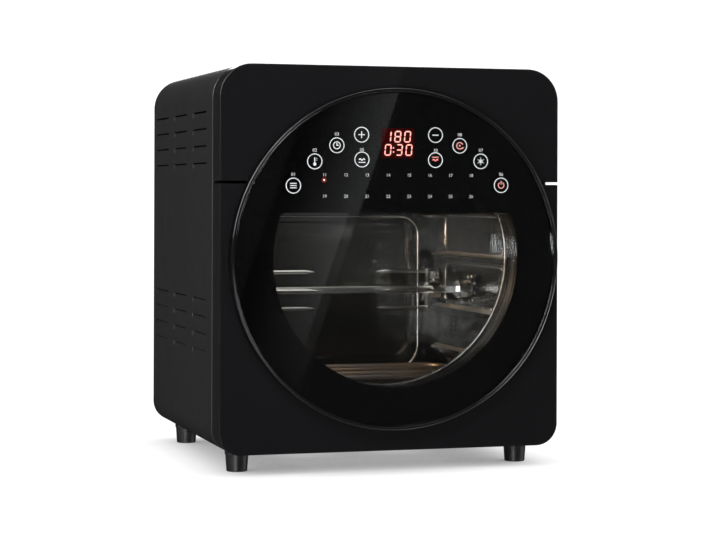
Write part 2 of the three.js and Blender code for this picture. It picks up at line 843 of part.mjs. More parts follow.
// Fan: a shaft with the hot-air impeller in the chamber and a cooling impeller above it
const impellerGap = 32;
const impellerRadius = chamberRadius - impellerGap;
const impellerRise = 9;
const impellerHeight = 15;
const impellerBlades = 8;
const impellerHub = 9;
const bladeRoot = 20;
const coolingRadius = 43;
const coolingRise = 8;
const coolingHeight = 11;
const coolingBlades = 6;
const coolingBladeWidth = 17;
const coolingPitch = 35;
const motorRise = 27;
const motorHeight = 36;
const shaftNose = 3.3;
const shaftEndGap = 1;
const motorZ = chamberTopZ + motorRise;

function fanShaft() {
  const low = chamberZ + impellerRise - shaftNose;
  return rod("z", shaftRadius, low, motorZ + motorHeight - shaftEndGap, ...fanAxis());
}

function impellerBore(low, high) {
  return rod("z", shaftRadius + seat, low - overrun, high + overrun, ...fanAxis());
}

// Copies of one blade, made along +X at the origin and turned round the fan's axis.
function bladeRing(count, blade) {
  return Array.from({ length: count }, (_, i) => {
    const geometry = blade();
    geometry.rotateZ((i * 2 * Math.PI) / count);
    geometry.translate(0, cavityMidY, 0);
    return solidOf(geometry);
  });
}

function hotImpeller() {
  const low = chamberZ + impellerRise;
  const high = low + impellerHeight;
  const plate = rod("z", impellerRadius - sheet, high - sheet, high, ...fanAxis(), potSides);
  const hub = rod("z", impellerHub, low, high, ...fanAxis(), smallSides);
  const blades = bladeRing(impellerBlades, () => {
    const blade = new THREE.BoxGeometry(impellerRadius - bladeRoot, sheet, impellerHeight - sheet / 2);
    blade.translate((impellerRadius + bladeRoot) / 2, 0, (low + high - sheet / 2) / 2);
    return blade;
  });
  return cut(join(plate, hub, blades), impellerBore(low, high));
}

function coolingImpeller() {
  const low = chamberTopZ + coolingRise;
  const high = low + coolingHeight;
  const hub = rod("z", impellerHub, low, high, ...fanAxis(), smallSides);
  const blades = bladeRing(coolingBlades, () => {
    const reach = coolingRadius - impellerHub + overrun;
    const blade = new THREE.BoxGeometry(reach, coolingBladeWidth, sheet);
    blade.rotateX(THREE.MathUtils.degToRad(coolingPitch));
    blade.translate(coolingRadius - reach / 2, 0, (low + high) / 2);
    return blade;
  });
  return cut(join(hub, blades), impellerBore(low, high));
}

// Motor bracket: a bent strap that stands on the fan chamber and carries the fan motor
const bracketHalf = 50;
const bracketWidth = 34;
const bracketFoot = 12;
const bracketSheet = 1.5;

function motorBracket() {
  const low = chamberTopZ + seat;
  const high = motorZ - seat;
  const inner = bracketHalf - bracketSheet;
  const points = outline(
    [-bracketHalf - bracketFoot, low],
    [-inner, low],
    [-inner, high - bracketSheet],
    [inner, high - bracketSheet],
    [inner, low],
    [bracketHalf + bracketFoot, low],
    [bracketHalf + bracketFoot, low + bracketSheet],
    [bracketHalf, low + bracketSheet],
    [bracketHalf, high],
    [-bracketHalf, high],
    [-bracketHalf, low + bracketSheet],
    [-bracketHalf - bracketFoot, low + bracketSheet],
  );
  const strap = alongY(points, cavityMidY - bracketWidth / 2, cavityMidY + bracketWidth / 2);
  return cut(strap, rod("z", shaftRadius + shaftGap, low, high + overrun, ...fanAxis()));
}

// Fan motor: a laminated stack with a coil on one side and a bearing strap on each face
const stackWidth = 58;
const stackDepth = 46;
const stackHeight = 18;
const stackCorner = 4;
const coilWidth = 26;
const coilDepth = 16;
const coilOverhang = 4;
const rotorRadius = 12.5;
const motorStrap = 14;

function fanMotor() {
  const [x, y] = fanAxis();
  const low = motorZ + (motorHeight - stackHeight) / 2;
  const high = low + stackHeight;
  const top = motorZ + motorHeight;
  const [halfStack, halfCoil, halfStrap] = [stackWidth / 2, coilWidth / 2, motorStrap / 2];
  const [front, back] = [y - stackDepth / 2, y + stackDepth / 2];
  const stack = alongZ(roundedOutline(x - halfStack, x + halfStack, front, back, stackCorner), low, high);
  const coilY = back - coilDepth / 2;
  const [coilLow, coilHigh] = [low - coilOverhang, high + coilOverhang];
  const coil = box(x - halfCoil, x + halfCoil, coilY, coilY + coilDepth, coilLow, coilHigh);
  const rotor = rod("z", rotorRadius, motorZ, top, x, y, smallSides);
  const strap = box(x - halfStack, x + halfStack, y - halfStrap, y + halfStrap, motorZ, top);
  const reach = halfStack - plasticWall;
  const gap = (z0, z1) => box(x - reach, x + reach, y - motorStrap, y + motorStrap, z0, z1);
  const gaps = [gap(motorZ + bracketSheet, low), gap(high, top - bracketSheet)];
  const bore = rod("z", shaftRadius + seat, motorZ - overrun, top + overrun, x, y);
  return cut(join(stack, coil, rotor, cut(strap, gaps)), bore);
}

// Rotisserie drive: a geared motor outside the right wall turns a square socket inside
const gearboxRadius = 25;
const gearboxDepth = 18;
const gearboxPlate = 1.5;
const gearboxPlateWidth = 62;
const gearboxPlateHeight = 34;
const driveNeck = 5;
const driveRadius = 9;
const driveLength = 13;
const spitWidth = 6.5;
const spitGrip = 10;
const spitChamferShare = 1 / 8;
const driveGap = 1.3;
const driveEndGap = 1;
const gearboxX = cavityHalf + sheet + seat;
const driveX = cavityHalf - driveGap - driveLength;

function rotisserieMotor() {
  const outer = gearboxX + gearboxDepth + gearboxPlate;
  const can = rod("x", gearboxRadius, gearboxX, outer, cavityMidY, spitZ);
  const half = gearboxPlateWidth / 2;
  const rise = gearboxPlateHeight / 2;
  const [front, back] = [cavityMidY - half, cavityMidY + half];
  const points = roundedOutline(front, back, spitZ - rise, spitZ + rise, stackCorner);
  const plate = alongX(points, gearboxX, gearboxX + gearboxPlate);
  const [low, high] = [gearboxX - overrun, gearboxX + gearboxDepth];
  const bore = rod("x", driveNeck + seat, low, high, cavityMidY, spitZ);
  return cut(join(can, plate), bore);
}

// A square section about the spit's axis.
function spitSquare(half) {
  const chamfer = half * spitChamferShare;
  const [front, back] = [cavityMidY - half, cavityMidY + half];
  return roundedOutline(front, back, spitZ - half, spitZ + half, chamfer, chamfer, edgeSteps);
}

function spitDrive() {
  const face = driveX + driveLength;
  const end = gearboxX + gearboxDepth - driveEndGap;
  const neck = rod("x", driveNeck, face - overrun, end, cavityMidY, spitZ);
  const cup = rod("x", driveRadius, driveX, face, cavityMidY, spitZ);
  const socket = alongX(spitSquare(spitWidth / 2 + seat), driveX - overrun, driveX + spitGrip + seat);
  return cut(join(neck, cup), socket);
}

// Spit: a square bar with a grooved end that lies in the left bearing
const spitNeck = 2.4;
const spitHead = 3.5;
const spitHeadLength = 3;
const spitNeckLength = 9;
const bearingGap = 0.6;
const spitEndGap = 2;
const spitEndX = -(cavityHalf - spitEndGap);

function spitShaft() {
  const right = driveX + spitGrip;
  const neckStart = spitEndX + spitHeadLength;
  const barStart = neckStart + spitNeckLength;
  const bar = alongX(spitSquare(spitWidth / 2), barStart, right);
  const neck = rod("x", spitNeck, neckStart - overrun, barStart + overrun, cavityMidY, spitZ, smallSides);
  const head = rod("x", spitHead, spitEndX, neckStart, cavityMidY, spitZ, smallSides);
  return join(bar, neck, head);
}

// Spit bearing: a block on the left wall, notched from above so that the spit lifts out
const bearingWidth = 24;
const bearingDrop = 16;
const bearingTop = 9;

function spitBearing() {
  const wall = -(cavityHalf - seat);
  const headEnd = spitEndX + spitHeadLength + bearingGap;
  const face = headEnd + spitNeckLength - 2 * bearingGap;
  const half = bearingWidth / 2;
  const points = roundedOutline(
    cavityMidY - half,
    cavityMidY + half,
    spitZ - bearingDrop,
    spitZ + bearingTop,
    stackCorner,
    stackCorner / 2,
  );
  const block = alongX(points, wall, face);
  const notch = (radius, x0, x1) => {
    const top = spitZ + bearingTop + overrun;
    const width = [cavityMidY - radius, cavityMidY + radius];
    const round = rod("x", radius, x0, x1, cavityMidY, spitZ);
    return join(round, box(x0, x1, ...width, spitZ, top));
  };
  const narrow = notch(spitNeck + bearingGap, wall - overrun, face + overrun);
  const wide = notch(spitHead + bearingGap, wall - overrun, headEnd);
  return cut(block, narrow, wide);
}

// Forks: a hub on the square bar with four prongs that point to the middle of the spit
const forkSideGap = 47;
const forkX = cavityHalf - forkSideGap;
const forkHub = 9;
const forkHubLength = 14;
const forkPlate = 2.5;
const forkArmWidth = 7;
const prongSpread = 18;
const prongRadius = 1.8;
const prongLength = 52;
const prongTip = 9;
const screwRadius = 2.2;
const screwHead = 5.2;
const screwHeadHeight = 7;
const screwShank = 7;
const screwChamfer = 1;
const screwX = forkX + (forkHubLength + forkPlate) / 2;
const screwZ = spitZ + spitWidth / 2 + seat;

function spitFork(sign) {
  const outer = sign * (forkX + forkHubLength);
  const inner = sign * forkX;
  const [low, high] = [Math.min(inner, outer), Math.max(inner, outer)];
  const hub = rod("x", forkHub, low, high, cavityMidY, spitZ, 2 * wireSides);
  const plateX = [inner, inner + sign * forkPlate].sort((a, b) => a - b);
  const reach = prongSpread + forkArmWidth / 2;
  const half = forkArmWidth / 2;
  const arms = [
    box(...plateX, cavityMidY - reach, cavityMidY + reach, spitZ - half, spitZ + half),
    box(...plateX, cavityMidY - half, cavityMidY + half, spitZ - reach, spitZ + reach),
  ];
  const profile = [
    [0, prongLength],
    [prongRadius, prongLength - prongTip],
    [prongRadius, -forkPlate / 2],
    [0, -forkPlate / 2],
  ];
  const prongs = [0, 1, 2, 3].map((quarter) => {
    const geometry = new THREE.LatheGeometry(outline(...profile.toReversed()), wireSides);
    geometry.rotateZ((sign * Math.PI) / 2);
    const angle = (quarter * Math.PI) / 2;
    const y = cavityMidY + prongSpread * Math.cos(angle);
    geometry.translate(inner, y, spitZ + prongSpread * Math.sin(angle));
    return solidOf(geometry);
  });
  const bore = alongX(spitSquare(spitWidth / 2 + seat), low - overrun, high + overrun);
  const top = spitZ + forkHub + overrun;
  const thread = rod("z", screwRadius + seat, spitZ, top, sign * screwX, cavityMidY, smallSides);
  return cut(join(hub, arms, prongs), bore, thread);
}

// A knurled thumb screw, made about its own axis with its tip at zero.
function forkScrew() {
  const profile = [
    [0, 0],
    [screwRadius, 0],
    [screwRadius, screwShank],
    [screwHead - screwChamfer, screwShank],
    [screwHead, screwShank + screwChamfer],
    [screwHead, screwShank + screwHeadHeight - screwChamfer],
    [screwHead - screwChamfer, screwShank + screwHeadHeight],
    [0, screwShank + screwHeadHeight],
  ];
  return revolve("z", profile, 0, 0, smallSides);
}

// Oven lamp: a socket outside the left wall, a bulb, and a domed lens inside
const lampFlange = 17;
const lampDome = 13.5;
const lampDomeReach = 10;
const lampGlass = 1.5;
const lampCrown = 1;
const socketRadius = 13;
const socketLength = 20;
const bulbRadius = 6;
const bulbNeck = 4;
const bulbLength = 15;
const bulbTip = 1;

function lampLens() {
  const wall = -(cavityHalf - seat);
  const face = wall + lampGlass;
  const profile = [
    [0, wall + lampDomeReach],
    [lampDome / 2, wall + lampDomeReach - lampCrown],
    [lampDome, face],
    [lampFlange, face],
    [lampFlange, wall],
    [lampDome - lampGlass, wall],
    [(lampDome - lampGlass) / 2, wall + lampDomeReach - lampCrown - lampGlass],
    [0, wall + lampDomeReach - lampGlass],
  ];
  return revolve("x", profile, lampY, lampZ);
}

function lampSocket() {
  const wall = -(cavityHalf + sheet + seat);
  const end = wall - socketLength;
  const profile = [
    [0, end],
    [socketRadius, end],
    [socketRadius, wall - sheet],
    [lampFlange, wall - sheet],
    [lampFlange, wall],
    [socketRadius - plasticWall, wall],
    [socketRadius - plasticWall, end + 2 * plasticWall],
    [bulbNeck + seat, end + 2 * plasticWall],
    [bulbNeck + seat, end + plasticWall],
    [0, end + plasticWall],
  ];
  return revolve("x", profile, lampY, lampZ, 2 * wireSides);
}

function lampBulb() {
  const end = -(cavityHalf + sheet + seat) - socketLength + plasticWall + seat;
  const shoulder = end + 2 * plasticWall;
  const profile = [
    [0, end],
    [bulbNeck, end],
    [bulbNeck, shoulder],
    [bulbRadius, shoulder + bulbRadius],
    [bulbRadius, shoulder + bulbLength - bulbRadius],
    [bulbRadius / 2, shoulder + bulbLength - bulbTip],
    [0, shoulder + bulbLength],
  ];
  return revolve("x", profile, lampY, lampZ, smallSides);
}

// Temperature probe through the right wall, and the thermal cut-out on the ceiling
const probeReach = 30;
const probeFlange = 6;
const probeTail = 8;
const cutoutSideGap = 27;
const cutoutX = cavityHalf - cutoutSideGap;
const cutoutInset = 30;
const cutoutRadius = 8;
const cutoutHeight = 9;
const cutoutTab = 4;
const cutoutTabRise = 9;

function temperatureProbe() {
  const wall = cavityHalf + sheet + seat;
  const profile = [
    [0, cavityHalf - probeReach],
    [probeRadius, cavityHalf - probeReach + probeRadius],
    [probeRadius, wall],
    [probeFlange, wall],
    [probeFlange, wall + sheet],
    [probeRadius, wall + sheet],
    [probeRadius, wall + probeTail],
    [0, wall + probeTail],
  ];
  return revolve("x", profile, probeY, probeZ, smallSides);
}

function thermalCutout() {
  const low = ceilingZ + sheet + seat;
  const y = casingY + cutoutInset;
  const can = rod("z", cutoutRadius, low, low + cutoutHeight, cutoutX, y);
  const top = low + cutoutHeight;
  const tab = (sign) => {
    const middle = y + (sign * cutoutRadius) / 2;
    const [left, right] = [cutoutX - sheet / 2, cutoutX + sheet / 2];
    const [front, back] = [middle - cutoutTab / 2, middle + cutoutTab / 2];
    return box(left, right, front, back, top - overrun, top + cutoutTabRise);
  };
  return join(can, tab(-1), tab(1));
}

// Power board: upright on a bracket over the left of the ceiling
const boardBracketInset = 4;
const boardBracketX = cavityHalf - boardBracketInset;
const boardBracketFoot = 12;
const boardBracketHeight = 88;
const boardLength = 104;
const boardHeight = 76;
const boardThickness = 1.6;
const boardFrontInset = 34;
const boardRise = 8;
const standoff = 5;
const standoffRadius = 3;
const relayWidth = 16;
const relayHeight = 20;
const relayDepth = 14;
const transformerWidth = 34;
const transformerHeight = 30;
const transformerDepth = 22;
const capacitorRadius = 8;
const capacitorDepth = 20;
const boardMargin = 7;
const boardFaceX = -(boardBracketX - sheet - standoff - seat);
const boardLowZ = chamberZ + sheet + boardRise;
const boardY = casingY + boardFrontInset;

function boardBracket() {
  const low = ceilingZ + sheet + seat;
  const back = -boardBracketX;
  const foot = box(back, back + boardBracketFoot, boardY, boardY + boardLength, low, low + sheet);
  const plate = box(back, back + sheet, boardY, boardY + boardLength, low, low + boardBracketHeight);
  const posts = [boardY + boardMargin, boardY + boardLength - boardMargin].flatMap((y) =>
    [boardLowZ + boardMargin, boardLowZ + boardHeight - boardMargin].map((z) =>
      rod("x", standoffRadius, back + sheet / 2, back + sheet + standoff, y, z, smallSides),
    ),
  );
  return join(foot, plate, posts);
}

function powerBoard() {
  const face = boardFaceX + boardThickness;
  const board = box(boardFaceX, face, boardY, boardY + boardLength, boardLowZ, boardLowZ + boardHeight);
  const root = face - boardThickness / 2;
  const block = (y, z, width, height, depth) => box(root, face + depth, y, y + width, z, z + height);
  const relays = [0, 1, 2].map((i) => {
    const y = boardY + boardMargin + i * (relayWidth + boardMargin);
    return block(y, boardLowZ + boardMargin, relayWidth, relayHeight, relayDepth);
  });
  const top = boardLowZ + boardHeight - boardMargin - transformerHeight;
  const coilY = boardY + boardMargin;
  const size = [transformerWidth, transformerHeight, transformerDepth];
  const transformer = block(coilY, top, ...size);
  const canY = boardY + boardLength - 2 * boardMargin - capacitorRadius;
  const canZ = top + transformerHeight / 2;
  const capacitor = rod("x", capacitorRadius, root, face + capacitorDepth, canY, canZ, smallSides);
  return join(board, relays, transformer, capacitor);
}

// Hinge brackets: ears that reach through the front frame into the bottom of the door
const earFoot = 15;
const earFootSheet = 2;
const earFootRise = 11;
const pinRadius = 2.5;
const pinGap = 0.2;

function hingeBracket(sign) {
  const x = sign * earX;
  const half = earThickness / 2;
  const back = casingY + sheet + seat;
  const points = [
    ...arc(hingeY, hingeZ, earRadius, 90, 270, smallSides),
    new THREE.Vector2(back + earFootSheet, hingeZ - earRadius),
    new THREE.Vector2(back + earFootSheet, hingeZ + earRadius),
  ];
  const ear = alongX(points, x - half, x + half);
  const end = x - sign * (half + earFoot);
  const foot = box(x, end, back, back + earFootSheet, hingeZ - earRadius, hingeZ + earFootRise);
  return cut(join(ear, foot), rod("x", pinRadius + pinGap, x - earFoot, x + earFoot, hingeY, hingeZ));
}

// Door shell: a hollow moulding below the seam, open to the rear, rounded about the hinge
const doorSlotGap = 0.7;
const doorRib = 2.5;
const doorRibRise = 9.2;
const doorPanelRise = 24;
const doorBack = frontY + doorDepth;

// The side view of the door, drawn in by an inset and run up to a height.
function doorSide(inset, high) {
  const radius = hingeInset - inset;
  return [
    new THREE.Vector2(frontY + inset, high),
    new THREE.Vector2(frontY + inset, baseZ + inset),
    ...arc(hingeY, hingeZ, radius, 270, 360, cornerSteps),
    new THREE.Vector2(hingeY + radius, high),
  ];
}

function doorSolid(inset) {
  const front = alongY(bodyOutline(inset), frontY, doorBack);
  return front.intersect(alongX(doorSide(inset, seamZ - inset), -halfWidth, halfWidth));
}

function doorShell() {
  const hollow = doorSolid(plasticWall);
  const panelLow = baseZ + doorPanelRise;
  const edge = halfWidth - plasticWall;
  const rear = box(-edge, edge, hingeY, doorBack + overrun, panelLow, seamZ - plasticWall);
  const slotHalf = earThickness / 2 + doorSlotGap;
  const ribs = sides.flatMap(({ sign }) =>
    [-1, 1].map((way) => {
      const x = sign * earX + way * (slotHalf + doorRib / 2);
      const slab = box(x - doorRib / 2, x + doorRib / 2, frontY, doorBack, baseZ, hingeZ + doorRibRise);
      return doorSolid(plasticWall / 2).intersect(slab);
    }),
  );
  const reach = earRadius + doorSlotGap;
  const slots = sides.map(({ sign }) => {
    const x = sign * earX;
    const [front, low] = [hingeY - reach, baseZ - overrun];
    return box(x - slotHalf, x + slotHalf, front, doorBack + overrun, low, hingeZ + reach);
  });
  const pinReach = slotHalf + doorRib + overrun;
  const holes = sides.map(({ sign }) => {
    const x = sign * earX;
    return rod("x", pinRadius + pinGap, x - pinReach, x + pinReach, hingeY, hingeZ);
  });
  const opening = alongY(windowOutline(tunnelWall + seat + tunnelDraft), frontY - overrun, hingeY);
  const body = join(cut(doorSolid(0), hollow, rear), ribs);
  return cut(body, slots, holes, opening);
}

// Window tunnel: a thin bright sleeve from the disc's glass back to the inner pane
const tunnelWall = 1;
const tunnelDraft = 0.5;
const tunnelFlange = 8;
const panelSheet = 1.2;
const panelSkirt = 5;
const sealDepth = 2.4;
const innerGlassDepth = 4;
const innerPanelY = doorBack - sealDepth - panelSheet;
const innerGlassY = innerPanelY - seat - innerGlassDepth;
const tunnelBackY = innerGlassY - seat;

// Disc: housing, glass, printed film and rim
const housingInset = 0.5;
const housingRadius = discRadius - housingInset;
const housingWall = 3;
const housingFloor = 2;
const glassDepth = 4;
const glassInset = 0.4;
const filmDepth = 0.4;
const rimWidth = 3.3;
const rimDepth = 3;
const rimRound = 1.2;
const ledgeWidth = 3.5;
const discBackY = frontY - doorGap;
const discFrontY = frontY - discProud;
const glassFrontY = discFrontY + glassInset;
const glassBackY = glassFrontY + glassDepth;
const filmY = glassBackY + seat;
const filmBackY = filmY + filmDepth;
const wallFrontY = discFrontY + rimDepth + seat;
const glassRadius = housingRadius - housingWall - seat;
const tunnelFrontY = filmBackY + seat;

function windowTunnel() {
  const wall = tunnelWall + tunnelDraft;
  const sleeve = alongY(windowOutline(wall), tunnelFrontY, tunnelBackY);
  const flange = alongY(windowOutline(wall + tunnelFlange), tunnelBackY - tunnelWall, tunnelBackY);
  return cut(join(sleeve, flange), alongY(windowOutline(tunnelDraft), tunnelFrontY - overrun, casingY));
}

function innerGlass() {
  const grow = tunnelDraft + tunnelWall + tunnelFlange;
  return alongY(windowOutline(grow), innerGlassY, innerGlassY + innerGlassDepth);
}

function innerPanel() {
  const edge = halfWidth - plasticWall - seat;
  const low = baseZ + doorPanelRise + seat;
  const high = seamZ - plasticWall - seat;
  const plate = box(-edge, edge, innerPanelY, innerPanelY + panelSheet, low, high);
  const front = innerPanelY - panelSkirt;
  const skirt = box(-edge, edge, front, innerPanelY, low, high);
  const inner = edge - panelSheet;
  const hollow = box(-inner, inner, front - overrun, innerPanelY, low + panelSheet, high - panelSheet);
  const opening = alongY(windowOutline(tunnelDraft), innerPanelY - overrun, doorBack);
  return cut(join(plate, cut(skirt, hollow)), opening);
}

// Door seal: a flat ring round the mouth of the cavity
const sealWidth = 5;
const sealInset = 3.5;

function doorSeal() {
  const y0 = innerPanelY + panelSheet + seat;
  const ring = alongY(cavityOutline(sealInset + sealWidth), y0, casingY - seat);
  return cut(ring, alongY(cavityOutline(sealInset), y0 - overrun, casingY));
}

function discHousing() {
  const inner = housingRadius - housingWall;
  const floorY = discBackY - housingFloor;
  const ledgeY = filmBackY + seat;
  const profile = [
    [0, discBackY],
    [housingRadius, discBackY],
    [housingRadius, wallFrontY],
    [inner, wallFrontY],
    [inner, ledgeY],
    [inner - ledgeWidth, ledgeY],
    [inner - ledgeWidth, floorY],
    [0, floorY],
  ];
  const bosses = boardBossPlaces().map(([x, z]) =>
    rod("y", boardBossRadius, touchBoardBackY + seat, discBackY - housingFloor / 2, x, z, smallSides),
  );
  const pan = join(revolve("y", profile, 0, discZ, discSteps), bosses);
  return cut(pan, alongY(windowOutline(tunnelWall + tunnelDraft + seat), discFrontY, frontY));
}

function discGlass() {
  return rod("y", glassRadius, glassFrontY, glassBackY, 0, discZ, discSteps);
}

function printedFilm() {
  const film = rod("y", glassRadius, filmY, filmBackY, 0, discZ, discSteps);
  return cut(film, alongY(windowOutline(0), filmY - overrun, filmBackY + overrun));
}

function discRim() {
  const back = discFrontY + rimDepth;
  const inner = discRadius - rimWidth;
  const profile = [
    [inner, back],
    [discRadius, back],
    [discRadius, discFrontY + rimRound],
    [discRadius - rimRound, discFrontY],
    [inner, discFrontY],
    [inner, back],
  ];
  return revolve("y", profile, 0, discZ, discSteps);
}

// Touch board behind the glass, with a contact under each key and the display in the middle
const touchBoardInset = 15.5;
const touchBoardLowShare = 0.3473;
const touchBoardRadius = discRadius - touchBoardInset;
const touchBoardLow = discRadius * touchBoardLowShare;
const boardBossRadius = 3.5;
const boardBossHeight = 1;
const boardBossShare = 0.6817;
const boardBossSpread = discRadius * boardBossShare;
const boardBossInset = 7;
const touchBoardBackY = discBackY - housingFloor - boardBossHeight - seat;
const touchBoardFrontY = touchBoardBackY - boardThickness;
const keyRingShare = 0.7672;
const keyRing = discRadius * keyRingShare;
const keyAngles = [34.2, 48.6, 60.6, 72.8];
const innerKeyShares = [0.227, 0.5814];
const [innerKeyX, innerKeyZ] = innerKeyShares.map((share) => discRadius * share);
const padRadius = 5;
const displayWidth = 36;
const displayHeight = 32;
const displayShare = 0.6778;
const displayRise = discRadius * displayShare;
const displayWindow = 30;
const displayFrame = 1;

// Places of the ten touch keys, in X and Z.
function keyPlaces() {
  return sides.flatMap(({ sign }) => [
    ...keyAngles.map((degrees) => {
      const angle = THREE.MathUtils.degToRad(degrees);
      return [sign * keyRing * Math.cos(angle), discZ + keyRing * Math.sin(angle)];
    }),
    [sign * innerKeyX, discZ + innerKeyZ],
  ]);
}

function boardBossPlaces() {
  const low = discZ + touchBoardLow + boardBossInset;
  const high = discZ + touchBoardRadius - boardBossInset;
  return [...sides.map(({ sign }) => [sign * boardBossSpread, low]), [0, high]];
}

function touchBoard() {
  const board = alongY(upperDiscOutline(touchBoardRadius, touchBoardLow), touchBoardFrontY, touchBoardBackY);
  const back = touchBoardFrontY + boardThickness / 2;
  const pads = keyPlaces().map(([x, z]) => rod("y", padRadius, filmBackY + seat, back, x, z, wireSides));
  return join(board, pads);
}

function displayModule() {
  const [front, back] = [filmBackY + seat, touchBoardFrontY - seat];
  const half = displayWidth / 2;
  const z = discZ + displayRise;
  const block = box(-half, half, front, back, z - displayHeight / 2, z + displayHeight / 2);
  const row = (sign) => {
    const middle = z + (sign * displayHeight) / 4;
    const rise = displayHeight / 4 - displayFrame;
    const reach = displayWindow / 2;
    return box(-reach, reach, front - overrun, front + displayFrame, middle - rise, middle + rise);
  };
  return cut(block, row(-1), row(1));
}

// Hinge pins, headed rods that join each ear to the ribs of the door
const pinHead = 4;
const pinHeadDepth = 1.5;

function hingePin(sign) {
  const reach = earThickness / 2 + doorSlotGap + doorRib + seat;
  const x = sign * earX;
  const outer = x + sign * reach;
  const inner = x - sign * (reach + pinHeadDepth);
  const ends = [inner, outer + sign * pinHeadDepth].sort((a, b) => a - b);
  const head = [outer, outer + sign * pinHeadDepth].sort((a, b) => a - b);
  const shank = rod("x", pinRadius, ...ends, hingeY, hingeZ);
  return join(shank, rod("x", pinHead, ...head, hingeY, hingeZ, smallSides));
}

// Catches: a magnet behind the door's inner panel meets a strike plate on the frame
const magnetSideInset = 14.5;
const magnetX = halfWidth - magnetSideInset;
const magnetWidth = 8;
const magnetHeight = 26;
const magnetDepth = 6;
const magnetRise = 190;
const strikeSheet = 1.2;

// A block as wide and high as the magnets, in line with them.
function catchBlock(sign, y0, y1) {
  const x = sign * magnetX;
  const z = baseZ + magnetRise;
  const [halfWide, halfHigh] = [magnetWidth / 2, magnetHeight / 2];
  return box(x - halfWide, x + halfWide, y0, y1, z - halfHigh, z + halfHigh);
}

function doorMagnet(sign) {
  const back = innerPanelY - seat;
  return catchBlock(sign, back - magnetDepth, back);
}

function strikePlate(sign) {
  const back = casingY - seat;
  return catchBlock(sign, back - strikeSheet, back);
}

// Door sensor: a sealed reed switch behind the frame, in line with the right strike plate
const sensorDepth = 9;

function doorSensor() {
  const front = casingY + sheet + seat;
  return catchBlock(1, front, front + sensorDepth);
}

// The finished part, piece by piece
for (const { name, y } of footPlaces)
  for (const side of sides)
    add(`foot_${name}_${side.name}`, foot(), darkPlastic, new THREE.Vector3(side.sign * footSpread, y, 0));

add("outer_shell", outerShell(), coatedSteel);
add("base_plate", basePlate(), plainSteel);
add("rear_panel", rearPanel(), coatedSteel);
add("cord_gland", cordGland(), darkPlastic);
add("front_frame", frontFrame(), coatedSteel);
add("upper_fascia", upperFascia(), glossPlastic);
add("oven_liner", ovenLiner(), brightSteel);
add("liner_back", linerBack(), brightSteel);
add("drip_tray", dripTray(), brightSteel);
add("bottom_heater", bottomHeater(), heaterSteel);
add("heater_support_front", heaterSupport(0), plainSteel);
add("heater_support_rear", heaterSupport(2), plainSteel);
add("fan_chamber", fanChamber(), plainSteel);
add("top_heater", topHeater(), heaterSteel);
add("fan_cover", fanCover(), brightSteel);
add("motor_bracket", motorBracket(), plainSteel);
add("fan_motor", fanMotor(), motorCopper);
add("rotisserie_motor", rotisserieMotor(), plainSteel);
add("spit_bearing", spitBearing(), brightSteel);
add("lamp_socket", lampSocket(), ceramic);
add("lamp_bulb", lampBulb(), clearGlass);
add("lamp_lens", lampLens(), clearGlass);
add("temperature_probe", temperatureProbe(), brightSteel);
add("thermal_cutout", thermalCutout(), ceramic);
add("board_bracket", boardBracket(), plainSteel);
add("power_board", powerBoard(), boardGreen);
add("door_sensor", doorSensor(), darkPlastic);

add("fan_shaft", fanShaft(), brightSteel);
add("hot_impeller", hotImpeller(), aluminium);
add("cooling_impeller", coolingImpeller(), aluminium);

add("spit_drive", spitDrive(), plainSteel);
add("spit_shaft", spitShaft(), brightSteel);

add("door_shell", doorShell(), glossPlastic);
add("window_tunnel", windowTunnel(), brightSteel);
add("inner_glass", innerGlass(), clearGlass);
add("inner_panel", innerPanel(), plainSteel);
add("door_seal", doorSeal(), silicone);
add("disc_housing", discHousing(), discGloss);
add("disc_glass", discGlass(), clearGlass);
add("printed_film", printedFilm(), discGloss);
add("disc_rim", discRim(), glossPlastic);
add("touch_board", touchBoard(), boardGreen);
add("display_module", displayModule(), displayRed);

for (const { name, sign } of sides) {
  add(`fork_${name}`, spitFork(sign), brightSteel);
  add(`fork_screw_${name}`, forkScrew(), plainSteel, new THREE.Vector3(sign * screwX, cavityMidY, screwZ));
  add(`hinge_bracket_${name}`, hingeBracket(sign), plainSteel);
  add(`hinge_pin_${name}`, hingePin(sign), brightSteel);
  add(`door_magnet_${name}`, doorMagnet(sign), plainSteel);
  add(`strike_plate_${name}`, strikePlate(sign), plainSteel);
}

export default oven;
